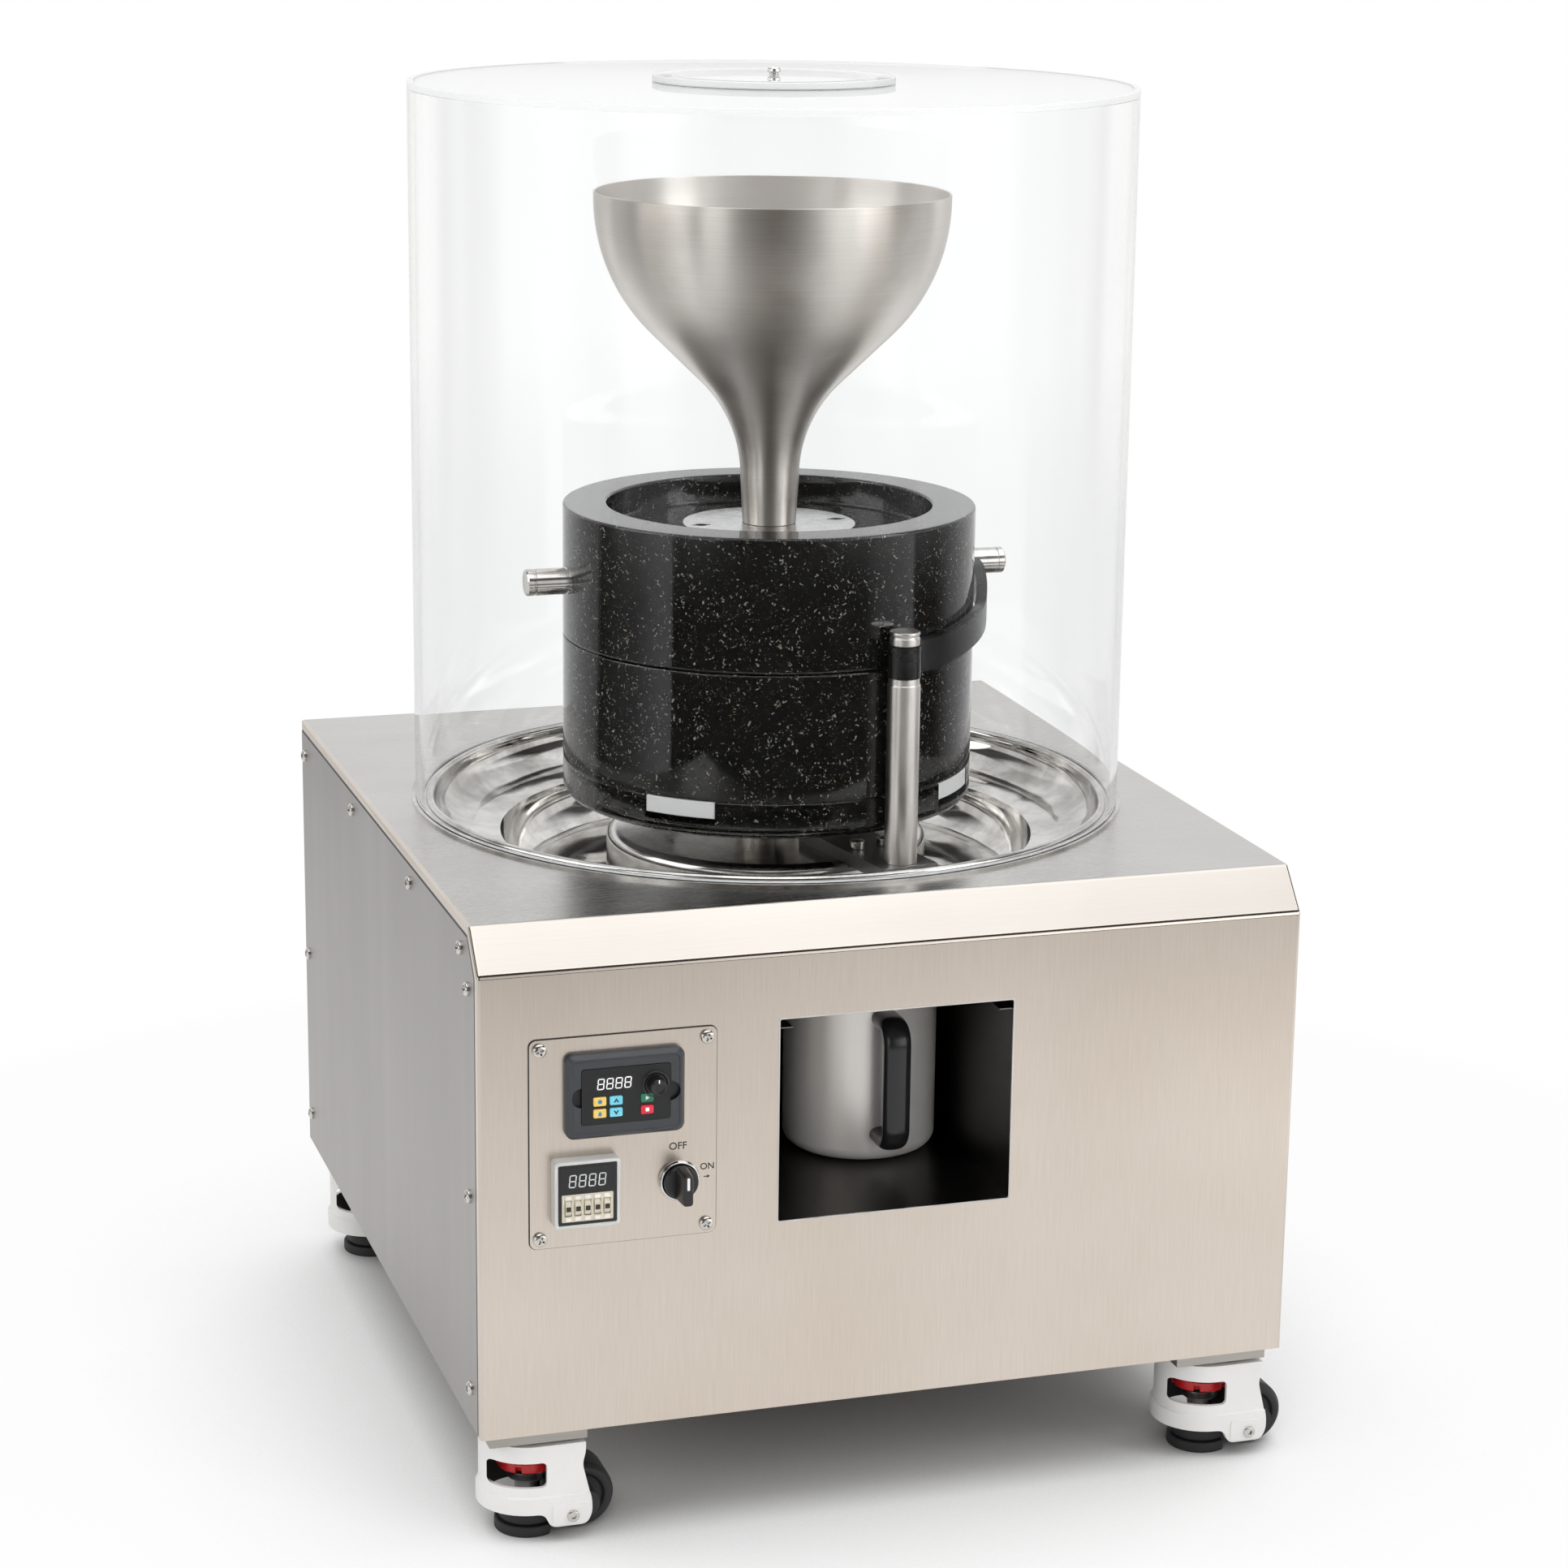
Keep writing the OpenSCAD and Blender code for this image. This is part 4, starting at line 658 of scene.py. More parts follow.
def cover_sheet():
    """Front, slope and top in one folded sheet, with soft bends and two directions of hairline."""
    folds = ((FRONT_Y, Z_TOP - SLOPE_DROP), (FRONT_Y + SLOPE_DEEP, Z_TOP))

    def on_fold(p):
        slope = abs((p.y - FRONT_Y) * SLOPE_DROP - (p.z - Z_TOP + SLOPE_DROP) * SLOPE_DEEP) < 1
        return (abs(abs(p.x) - HALF_W) < 0.1
                and (abs(p.y - FRONT_Y) < 0.1 or slope or abs(p.z - Z_TOP) < 0.1))

    bm = bmesh.new()
    bm.from_mesh(copy_of("front_top_cover"))
    bends = []
    for edge in bm.edges:
        a, b = (vert.co for vert in edge.verts)
        length = edge.calc_length()
        if abs(a.x - b.x) < 1e-5 and length > 0.02 and on_fold(a / MM) and on_fold(b / MM):
            bends.append(edge)
        if length < 0.3 or abs(a.z - b.z) > 1e-5 or abs(a.y - b.y) > 1e-5:
            continue
        if any(abs(a.y - y * MM) < 1e-4 and abs(a.z - z * MM) < 1e-4 for y, z in folds):
            bends.append(edge)
    bmesh.ops.bevel(bm, geom=bends, offset=2.2 * MM, segments=6, profile=0.5, affect="EDGES")
    # Each face takes a lit or shaded copy of the steel by the way it faces: front, top, slope or bend.
    for face in bm.faces:
        way = face.normal
        if 0.04 < abs(way.x) < 0.98 or 0.04 < way.z < 0.63:
            face.material_index = 3
        else:
            face.material_index = 1 if abs(way.z) > 0.9 else 2 if way.z > 0.3 else 0
    mesh = mesh_of(bm, "cover_sheet")
    for finish in (front_steel, top_steel, slope_steel, bend_steel):
        mesh.materials.append(finish)
    settle("cover_sheet", mesh, front_steel, "cabinet", ("front_top_cover",), 0.2, 2, 40)


def seam_strips():
    """Painted shade: a dark strip in the joint between each side panel and the cover's fold."""
    def inset(d):
        return [(FRONT_Y + d, Z_CAB + 1), (FRONT_Y + d, Z_TOP - SLOPE_DROP - 0.371 * d),
                (FRONT_Y + SLOPE_DEEP + 0.458 * d, Z_TOP - d), (-FRONT_Y - 2, Z_TOP - d)]

    parts = []
    for side in (-1, 1):
        strip = front_block(inset(7.3) + inset(9.5)[::-1], side * (HALF_W - 1.2), side * (HALF_W + 0.06))
        strip.transform(Matrix(((0, 1, 0, 0), (1, 0, 0, 0), (0, 0, 1, 0), (0, 0, 0, 1))))
        parts.append(outward(strip))
    settle("seam_strips", joined(*parts), dark_print_and_shade, "cabinet", crease=30)


def pocket_edge():
    """Bright cut edge of the cover round the mug pocket."""
    frame_line = front_block(rounded(172.8, 148.8, 1.4, POCKET, 3), FRONT_Y + 1.2, FRONT_Y - 0.3)
    opening = front_block(rounded(170.6, 146.6, 0.8, POCKET, 2), FRONT_Y + 4, FRONT_Y - 3)
    settle("pocket_edge", cut(frame_line, opening), pin_steel, "cabinet", soft=0.15)


def pocket():
    """The sheet box round the mug, its steel painted dark as the shade inside it; its left wall, which faces
    the light, has a painted lighter copy.
    """
    mesh = painted(copy_of("mug_pocket"), (pocket_shaded_steel, pocket_lit_steel),
                   lambda spot, way: way.x > 0.9 and spot.x < 0)
    settle("pocket_box", mesh, pocket_shaded_steel, "cabinet", ("mug_pocket",), 0.3, 2, 40)


def pocket_lugs():
    """Two folded lugs at the pocket's upper corners."""
    lugs = [front_block(rounded(10, 0.8, 0.3, (POCKET[0] + side * 80.5, 366), 2), FRONT_Y + 2, FRONT_Y + 24)
            for side in (-1, 1)]
    settle("pocket_lugs", joined(*lugs), dark_steel, "cabinet", soft=0.15)


cover_sheet()
seam_strips()
pocket_edge()
dressed("left_side_panel", "side_panel_left", shaded_side_steel, "cabinet", 0.15)
dressed("right_side_panel", "side_panel_right", shaded_side_steel, "cabinet", 0.15)
dressed("rear_panel", "back_panel", shaded_side_steel, "cabinet", 0.3)
dressed("base_plate", "floor_plate", plate_steel, "cabinet", 0.6)
pocket()
dressed("cable_gland", "rear_gland", black_plastic, "cabinet", 0.5, crease=35)
dressed("powder_chute", "outlet_tube", pin_steel, "cabinet", 0.3)
pocket_lugs()

# Screws of one side panel: distance from the front and height above the cabinet's foot
SIDE_SCREWS = ((28, 28), (28, 169), (28, 317), (49, 340), (214.4, 340), (426.88, 340),
               (626, 335), (626, 166), (626, 26))


def pan_screw(head_r, head_h):
    """Round pan head with a cross recess, standing on z = 0."""
    crown = arc(head_r * 0.35, head_h * 0.35, head_r * 0.65, head_h * 0.65, 0, 90, 7)
    head = turned([(0, 0), (head_r, 0)] + crown + [(0, head_h)], screw_steel, 28)
    blades = [upright_block(box_line(-w / 2, -d / 2, w / 2, d / 2), head_h * 0.3, head_h * 2)
              for w, d in ((head_r * 1.15, 1.25), (1.25, head_r * 1.15))]
    return cut(head, *blades)


def panel_screws():
    """Screws of side panels and control plate, and the two socket bolts of the foot bar."""
    places, facings = [], []
    for side in (-1, 1):
        for depth, height in SIDE_SCREWS:
            places.append((side * HALF_W, FRONT_Y + depth, Z_CAB + height))
            facings.append((side, 0, 0))
    for sx in (-1, 1):
        for sz in (-1, 1):
            places.append((PLATE[0] + sx * 58.75, PLATE_FACE, PLATE[1] + sz * 67.5))
            facings.append((0, -1, 0))
    heads = set_out(pan_screw(5.0, 3.2), places, facings, screw_steel, 1.5, 7)
    bolts, turn = [], math.radians(10)
    for sx in (-1, 1):
        x = POST[0] + sx * 11.25 * math.cos(turn) - 45 * math.sin(turn)
        y = POST[1] + sx * 11.25 * math.sin(turn) + 45 * math.cos(turn)
        head = turned(eased([(0, 0), (5.5, 0), (5.5, 6), (0, 6)], 0.8), screw_steel, 32, (x, y, 433))
        bolts.append(cut(head, upright_block(round_line(2.7, (x, y), 6), 436, 442)))
    settle("panel_screws", joined(heads, *bolts), screw_steel, "cabinet",
           ("cabinet_screws",), crease=32)


panel_screws()


# Basin, pedestal and post

def basin():
    """Polished bowl with a beaded rim, a shoulder and a trough, and the hole over the powder outlet."""
    wall = 1.5

    def inner(t):
        return (arc(221, 0, 32 + t, 24 + t, 0, -90, 16) + arc(179, -27 - t, 24 + t, 33, 0, -90, 16)
                + [(42.05, -60 - t)])

    section = ([(270, 0), (270, 2)] + arc(256, 2, 3, 3, 0, 180, 10) + [(253, 0.5)] + inner(0)
               + inner(wall)[::-1] + [(254.5, 0)])
    section = [(r, z + Z_TOP) for r, z in section]
    shape = turned(section, basin_steel, 160, loop=True)
    hole = round_bar(22.5, 380, 400, basin_steel, 64, (20, -153.23, 0))
    settle("powder_basin", cut(shape, hole), basin_steel, "cabinet", ("basin",), crease=28)


def pedestal():
    """Polished drum with the bearing housing inside it."""
    section = ([(119, 389), (122, 389)] + arc(114, 415, 8, 8, 0, 90, 8)
               + [(31.1, 423), (31.1, 407), (19, 407), (19, 379.5), (42, 379.5), (42, 417), (114, 417),
                  (119, 412)])
    settle("pedestal_drum", turned(section, pedestal_steel, 128, loop=True), pedestal_steel, "cabinet",
           ("pedestal",), crease=30)


def stop_post():
    """The post with its grooved neck, and the turned cap on it."""
    bar = eased([(0, 433), (12, 433), (12, 565.7), (11.3, 566.2), (11.3, 570.7), (8, 570.7), (8, 594.8),
                 (0, 594.8)], 0.4, 2)
    cap = eased([(0, 594.8), (11, 594.8), (11, 600.2), (10.3, 600.8), (10.3, 602), (11, 602.6), (11, 604.8),
                 (0, 604.8)], 0.7, 3)
    for name, section, node in (("stop_post_bar", bar, "stop_post"), ("post_cap_turned", cap, "post_cap")):
        settle(name, turned(section, post_steel, 64, POST), post_steel, "cabinet", (node,))


basin()
pedestal()
dressed("post_foot_bar", "foot_bar", dark_steel, "cabinet", 0.8, 3)
stop_post()
dressed("stop_arm", "swing_arm", arm_black, "stop_arm", 0.9, 3)


# Mill

def stone_base():
    """Turning base: a round blank with four notches in its rim."""
    ring = arc(145, 461, 10, 10, -90, 0, 10)
    blank = turned([(0, 451)] + ring + [(STONE_R, 478.2), (154.2, 479), (0, 479)], granite, 192)
    notches = [upright_block(swung(box_line(137, -28, 160, 28), turn), 461.5, 485) for turn in NOTCH_TURNS]
    settle("turning_base", cut(blank, *notches), granite, "lower_mill", ("stone_base",), crease=28)


def centring_blocks():
    """Four white blocks that fill the upper part of the notches."""
    half, inner, outer = 27.6, 137.3, 154.4
    rim = [(math.sqrt(outer ** 2 - s ** 2), s) for s in [half * (k / 6 - 1) for k in range(13)]]
    parts = [upright_block(swung([(inner, half), (inner, -half)] + rim, turn), 466, 478.7)
             for turn in NOTCH_TURNS]
    settle("centring_blocks", joined(*parts), nylon, "lower_mill", ("nylon_blocks",), 0.7, 2, 30)


def lower_stone():
    """The driven stone, and the hub with the shaft below it."""
    section = eased([(0, 479), (STONE_R, 479), (STONE_R, 574), (0, 574)], 1.6, 4)
    settle("lower_stone_turned", turned(section, granite, 192), granite, "lower_mill",
           ("lower_stone",), crease=50)
    hub = eased([(0, 275), (15, 275), (15, 423.3), (23, 423.3), (23, 439), (70, 439), (70, 451), (15, 451),
                 (15, 469), (0, 469)], 0.8, 3)
    settle("drive_hub", turned(hub, shaft_steel, 96), shaft_steel, "lower_mill",
           ("main_shaft",))


def upper_stone():
    """The held stone, with a recess for the feed plate."""
    section = eased([(30, 574.5), (STONE_R, 574.5), (STONE_R, 673.5), (122, 673.5), (122, 652), (30, 652)],
                    2.2, 5, True)
    settle("upper_stone_turned", turned(section, granite, 192, loop=True), granite, "upper_mill",
           ("upper_stone",), crease=50)


def feed_plate():
    """Steel disc over the stone's eye, with two holes and a slot across each."""
    section = eased([(17.3, 652), (65, 652), (65, 658), (17.3, 658)], 0.8, 3, True)
    disc = turned(section, feed_steel, 128, loop=True)
    holes = []
    for x in (-53, 53):
        holes.append(round_bar(4.5, 640, 670, feed_steel, 32, (x, 0, 0)))
        holes.append(upright_block(box_line(x - 7, -1.6, x + 7, 1.6), 655, 670))
    settle("feed_disc", cut(disc, *holes), feed_steel, "upper_mill", ("feed_plate",),
           crease=30)


def handle_pins():
    """Two grooved pins that stand out of the upper stone's sides."""
    line = [(0, 0), (10, 0), (10, 27), (9.4, 27.4), (9.4, 28.4), (10, 28.8), (10, 51), (9.4, 51.4),
            (9.4, 52.4), (10, 52.8), (10, 57), (9, 58), (0, 58)]
    pins = [turned(line, pin_steel, 48, (x, 0, 620.5), aim) for x, aim in ((-130, "left"), (130, "right"))]
    settle("lifting_pins", joined(*pins), pin_steel, "upper_mill", ("handle_pins",),
           crease=20)


stone_base()
centring_blocks()
lower_stone()
upper_stone()
feed_plate()
handle_pins()


def funnel():
    """Spun funnel: throat, flare, cone and round bowl, with a rolled lip and a spigot."""
    rim, bowl, lip, throat, rise, tall = 132.0, 137.0, 5.0, 22.0, 35.0, 246.0
    steep = math.radians(46)
    end_r, end_z = rim - bowl * (1 - math.cos(steep)), tall - lip - bowl * math.sin(steep)
    flare = (((end_z - rise) * math.tan(steep) - (end_r - throat))
             / (math.tan(steep) * math.sin(steep) - (1 - math.cos(steep))))

    def line(t):
        pts = [(20 - t, 0.0)]
        for i in range(17):
            a = steep * i / 16
            pts.append((throat + flare - (flare + t) * math.cos(a), rise + (flare + t) * math.sin(a)))
        for i in range(20, -1, -1):
            a = steep * i / 20
            pts.append((rim - bowl + (bowl - t) * math.cos(a), tall - lip - (bowl - t) * math.sin(a)))
        return pts

    outer, inside = line(0.0), line(1.5)
    lip_round = arc(rim - 0.75, tall - 0.75, 0.75, 0.75, 0, 180, 6)
    section = outer + lip_round + inside[::-1] + [(15.5, 0), (15.5, -14), (17, -14), (17, 0)]
    section = [(r, z + 658.3) for r, z in section]
    # The bowl's inner faces take the brighter copy, as painted light.
    sheet = painted(turned(section, funnel_steel, 192, loop=True), (funnel_steel, funnel_lit_inside),
                    lambda spot, way: spot.z > 700 and way.x * spot.x + way.y * spot.y < 0)
    settle("feed_funnel", sheet, funnel_steel, "funnel", ("funnel",), crease=40)


funnel()


# Dome and lid

def sand_edges(mesh, *bands):
    """Gives the sheet's sawn edges their matt finish, by bands of radius and height."""
    def sawn(spot, _):
        r = math.hypot(spot.x, spot.y)
        return any(r0 < r < r1 and z0 < spot.z < z1 for r0, r1, z0, z1 in bands)

    return painted(mesh, (clear, clear_edge), sawn)


def dome():
    """Clear drum with a hole in its top."""
    low, high, r_out, r_in, hole = 451.3, 983.3, 267.0, 262.0, 75.0
    section = eased([(r_in, low), (r_out, low), (r_out, high - 5), (r_out, high), (r_in, high), (hole, high),
                     (hole, high - 5), (r_in, high - 5)], 0.7, 3, True)
    drum = sand_edges(turned(section, clear, 192, loop=True), (266.2, 268, high - 4.9, high + 1),
                      (261, 268, 0, low + 0.6), (262, 268, high - 0.8, high + 1),
                      (hole - 1, hole + 1, high - 6, high + 1))
    settle("clear_dome", drum, clear, "dome", ("dome_shell",), crease=35)


def lid():
    """Clear disc with a locating ring below it and a small turned knob on top."""
    z = 983.6
    disc = eased([(0, z), (71, z), (71, z - 4), (74, z - 4), (74, z), (89, z), (89, z + 5),
                  (0, z + 5)], 0.8, 3)
    sheet = sand_edges(turned(disc, clear, 160), (88.2, 90, z - 1, z + 6), (70, 75, z - 5, z + 0.5))
    settle("clear_lid", sheet, clear, "dome_lid", ("dome_lid",), crease=35)
    knob = eased([(0, z + 5), (3.6, z + 5), (3.6, z + 6.4), (5, z + 7), (5, z + 9.6), (4.2, z + 10.4),
                  (2.6, z + 10.4), (2.2, z + 9.8), (0, z + 9.8)], 0.5, 3)
    settle("lid_knob", turned(knob, chrome, 32), chrome, "dome_lid", crease=40)


dome()
lid()


# Mug

def mug():
    """Steel mug with a rolled rim, and its flat-sided handle."""
    (x, y, z), r, tall, rnd = MUG, 56, 128, 10
    outer = [(0, 0)] + arc(r - rnd, rnd, rnd, rnd, -90, 0, 10) + [(r, tall - 2.2)]
    rim = [(r + 1, tall - 1.6), (r + 1, tall - 0.4), (r + 0.4, tall), (r - 0.6, tall), (r - 1, tall - 0.5)]
    inner = [(r - 1, tall - 3)] + arc(r - rnd, rnd, rnd - 1, rnd - 1, 0, -90, 10) + [(0, 1)]
    settle("mug_shell", turned(outer + rim + inner, mug_steel, 128, MUG), mug_steel, "mug",
           ("mug_body",), crease=45)
    path = eased([(-52, 110), (-84, 110), (-84, 22), (-52, 22)], 22, 10)
    rings, last = [], len(path) - 1
    for i, (py, pz) in enumerate(path):
        along = (Vector(path[min(i + 1, last)]) - Vector(path[max(i - 1, 0)])).normalized()
        side = Vector((-along.y, along.x))
        ring = []
        for c, s in round_line(1.0, sides=20):
            wide = 10 * math.copysign(abs(c) ** 0.75, c)
            thick = 6 * math.copysign(abs(s) ** 0.85, s)
            ring.append((x + wide, y + py + side.x * thick, z + pz + side.y * thick))
        rings.append(ring)
    bore = round_bar(r + 0.05, 0, tall, grip_black, 96, MUG)
    settle("mug_grip", cut(shell(rings), bore), grip_black, "mug",
           ("mug_handle",), crease=50)


mug()


# Control panel

def seven_bars(wide, tall, bar, lean=0.09):
    """A figure eight of seven bars, standing in x and z, facing the front."""
    gap, half_w, half_h = bar * 0.14, wide / 2, tall / 2
    tip = bar / 2

    def level(z):
        run = half_w - gap
        return [(-run, z), (-run + tip, z - tip), (run - tip, z - tip), (run, z), (run - tip, z + tip),
                (-run + tip, z + tip)]

    def upright(x, z):
        run = half_h / 2 - gap
        return [(x, z - run), (x + tip, z - run + tip), (x + tip, z + run - tip), (x, z + run),
                (x - tip, z + run - tip), (x - tip, z - run + tip)]

    bars = [level(z) for z in (-half_h, 0, half_h)]
    bars += [upright(x, z) for x in (-half_w, half_w) for z in (-half_h / 2, half_h / 2)]
    return joined(*[front_block([(px + lean * pz, pz) for px, pz in line], 0.0, -0.12) for line in bars])


def figures(name, centre, depth, pitch, size, finish):
    """Four plain eights in a row."""
    places = [(centre[0] + (i - 1.5) * pitch, depth, centre[1]) for i in range(4)]
    mesh = set_out(seven_bars(*size), places, [(0, 0, 1)] * 4, finish)
    settle(name, mesh, finish, "cabinet", crease=30)


def control_plate():
    """The plate of the controls and, behind it, a thin dark rim that paints the shade line round the plate.
    """
    dressed("control_plate", "instrument_plate", front_steel, "cabinet", 0.35)
    # Painted shade: a thin dark rim round the plate's edge.
    shade_line = cut(front_block(rounded(132.7, 150.2, 5.5, PLATE, 8), FRONT_Y + 0.2, FRONT_Y - 0.45),
               front_block(rounded(128, 145.5, 4, PLATE, 8), FRONT_Y + 2, FRONT_Y - 2))
    settle("plate_seal", shade_line, dark_print_and_shade, "cabinet", crease=30)


def drive_surround():
    """Raised surround of the speed drive with a round notch at each side, and the case behind it."""
    x, z = SURROUND
    levels = ((83.5, 60, 6, 0), (83.5, 60, 6, 4.0), (83.1, 59.6, 5.9, 4.6), (78.9, 55.4, 5.1, 7.1),
              (77.9, 54.4, 4.9, 7.5), (75.4, 51.9, 4.2, 7.5), (74.7, 51.2, 4.0, 6.95),
              (63.4, 41.0, 2.4, 6.75), (62.2, 39.8, 2.0, 6.2), (62.2, 39.8, 2.0, 3.0))
    blank = ring_loft([(rounded(w, h, r, SURROUND, 8), PLATE_FACE - out) for w, h, r, out in levels])
    notches = [round_bar(7, 0, 4, surround_grey, 48, (x + side * 31, PLATE_FACE - 4, z), "front")
               for side in (-1, 1)]

    def in_notch(spot, _):
        return PLATE_FACE - spot.y < 6.6 and math.hypot(abs(spot.x - x) - 31, spot.z - z) < 7.2

    raised = painted(cut(blank, *notches), (surround_grey, keypad_black), in_notch)
    settle("drive_surround", raised, surround_grey, "cabinet", ("drive_unit",), crease=24)
    case = front_block(rounded(75, 51, 2, SURROUND, 3), FRONT_Y + 2, FRONT_Y + 116)
    settle("drive_case", case, timer_black, "cabinet", soft=0.8)


# Keys: place on the keypad, finish, slot, sign and the sign's paint
KEYS = {"program_key": (-18.6, -3.4, key_yellow, "key_yellow", "ring", mark_blue),
        "enter_key": (-18.6, -11.8, key_yellow, "key_yellow", "drop", mark_blue),
        "up_key": (-7.2, -3.4, key_blue, "key_blue", "up", dark_print_and_shade),
        "down_key": (-7.2, -11.8, key_blue, "key_blue", "down", dark_print_and_shade),
        "run_key": (14.6, -3.4, key_green, "key_green", "start", mark_white),
        "stop_key": (14.6, -11.8, key_red, "key_red", "stop", mark_white)}


def key_sign(kind, x, z):
    """Outline of a plain sign on a key."""
    if kind == "ring":
        return round_line(1.5, (x, z), 20)
    if kind == "drop":
        return [(x, z + 2)] + arc(x, z - 0.6, 1.35, 1.35, 150, 390)
    if kind in ("up", "down"):
        flip = 1 if kind == "up" else -1
        arrow = [(-2, -1.3), (0, 1.7), (2, -1.3), (0.8, -1.3), (0, 0.1), (-0.8, -1.3)]
        return [(x + px, z + flip * pz) for px, pz in arrow]
    if kind == "start":
        return [(x - 1.2, z - 1.5), (x + 1.6, z), (x - 1.2, z + 1.5)]
    return rounded(2.6, 2.6, 0.3, (x, z), 2)


def keypad():
    """Keypad with its display, the speed knob's ring, and six keys with plain signs."""
    x, z = SURROUND
    display, knob = (x - 8, z + 8.75), (SPEED[0], KEYPAD_FACE, SPEED[1])
    plate = front_block(rounded(62, 39.6, 2, SURROUND, 6), KEYPAD_FACE + 3.6, KEYPAD_FACE)
    holes = [front_block(rounded(9.6, 6.8, 1.2, (x + key[0], z + key[1]), 3), KEYPAD_FACE + 5,
                         KEYPAD_FACE - 2) for key in KEYS.values()]
    holes.append(front_block(rounded(27, 10.5, 0.6, display, 3), KEYPAD_FACE + 0.5, KEYPAD_FACE - 2))
    holes.append(round_bar(3.04, -9, 9, keypad_black, 32, knob, "front"))
    settle("keypad_plate", cut(plate, *holes), keypad_black, "cabinet", ("keypad",),
           0.18, 2, 40)
    window = front_block(rounded(26.9, 10.4, 0.6, display, 3), KEYPAD_FACE + 0.5, KEYPAD_FACE + 0.06)
    settle("keypad_window", window, window_black, "cabinet", soft=0.04)
    figures("keypad_figures", (x - 8.2, z + 8.7), KEYPAD_FACE + 0.07, 6.3, (4.1, 7.2, 0.72), figure_white)
    ring = eased([(3.1, -0.1), (9.6, -0.1), (9.6, 0.7), (8.9, 1.2), (8.2, 1.2), (7.4, 0.45), (3.1, 0.45)],
                 0.25, 2, True)
    settle("speed_ring", turned(ring, black_plastic, 64, knob, "front", True), black_plastic, "cabinet",
           crease=24)
    for key, (kx, kz, finish, slot, kind, ink) in KEYS.items():
        cap = front_block(rounded(9, 6.2, 1, (x + kx, z + kz), 4), KEYPAD_FACE + 2.7, KEYPAD_FACE - 1.1)
        settle(key + "_cap", cap, finish, key, (key,), 0.35, 3, 40)
        sign = front_block(key_sign(kind, x + kx, z + kz), KEYPAD_FACE - 1.05, KEYPAD_FACE - 1.16)
        settle(key + "_sign", sign, ink, key, crease=30)


def speed_knob():
    """Small knob with fine flutes and a pointer line."""
    x, y, z = SPEED[0], KEYPAD_FACE - 1.5, SPEED[1]
    body = eased([(0, -3.6), (3, -3.6), (3, 0), (6, 0), (5.8, 7.2), (5.0, 8), (4.2, 8), (3.4, 7.5), (0, 7.4)],
                 0.35, 3)
    stock = turned(body, black_plastic, 60, (x, y, z), "front")
    flutes = [round_bar(0.42, 1, 9, black_plastic, 8, (fx, y, fz), "front")
              for fx, fz in round_line(6.1, (x, z), 20)]
    settle("speed_knob_turned", cut(stock, joined(*flutes)), black_plastic, "speed_knob",
           ("speed_knob",), crease=30)
    line = front_block(rounded(0.9, 2.4, 0.3, (x, z + 4.3), 2), y - 7.4, y - 8.06)
    settle("speed_knob_line", line, mark_white, "speed_knob", crease=30)


def wheel_openings(wide, tall):
    """Cutters for the five windows in front of the setting wheels."""
    return [front_block(rounded(wide, tall, 0.3, (x, WHEEL_Z), 2), FRONT_Y, TIMER_FACE - 3) for x in WHEEL_X]


def timer():
    """Timer: clear frame, black face, display, bezel with tabs, and the rod of the setting wheels."""
    x, z = TIMER
    plate = front_block(rounded(46, 48, 2.4, TIMER, 6), PLATE_FACE, TIMER_FACE - 1)
    hollow = front_block(rounded(41.2, 43.2, 1.2, TIMER, 4), PLATE_FACE + 1, TIMER_FACE - 4)
    settle("timer_frame", cut(plate, hollow), frame_clear, "cabinet", soft=0.5, steps=3, crease=40)
    face = front_block(rounded(41.2, 43.2, 1.2, TIMER, 4), PLATE_FACE + 0.5, TIMER_FACE)
    settle("timer_face", cut(face, *wheel_openings(5.2, 16)), timer_black, "cabinet",
           ("timer_case",), crease=30)
    rod = round_bar(1.5, -17, 17, pin_steel, 24, (x, WHEEL_Y, WHEEL_Z), "right")
    settle("timer_rod", rod, pin_steel, "cabinet", crease=40)
    glass = front_block(rounded(38.4, 18.0, 0.8, (x, z + 10.6), 4), TIMER_FACE + 0.01, TIMER_FACE - 0.25)
    settle("timer_window", glass, window_black, "cabinet", soft=0.1)
    figures("timer_figures", (x, z + 9.8), TIMER_FACE - 0.25, 6.9, (4.3, 8.4, 0.8), figure_grey)
    bezel = front_block(rounded(36, 19.6, 0.8, (x, WHEEL_Z), 4), TIMER_FACE + 0.01, TIMER_FACE - 0.5)
    settle("timer_bezel", cut(bezel, *wheel_openings(4.9, 11.4)), ivory, "cabinet",
           soft=0.12)
    tab = front_block(rounded(3.9, 2.4, 0.4, (0, 0), 3), 0.1, -0.75)
    spots = [(wx, TIMER_FACE - 0.4, WHEEL_Z + s * 7.6) for wx in WHEEL_X for s in (-1, 1)]
    tabs = set_out(tab, spots, [(0, 0, 1)] * len(spots), tab_white)
    settle("timer_tabs", tabs, tab_white, "cabinet", crease=30)
    case = front_block(rounded(40, 40, 2, TIMER, 3), FRONT_Y + 3, FRONT_Y + 93)
    settle("timer_body", case, timer_black, "cabinet", soft=0.8)


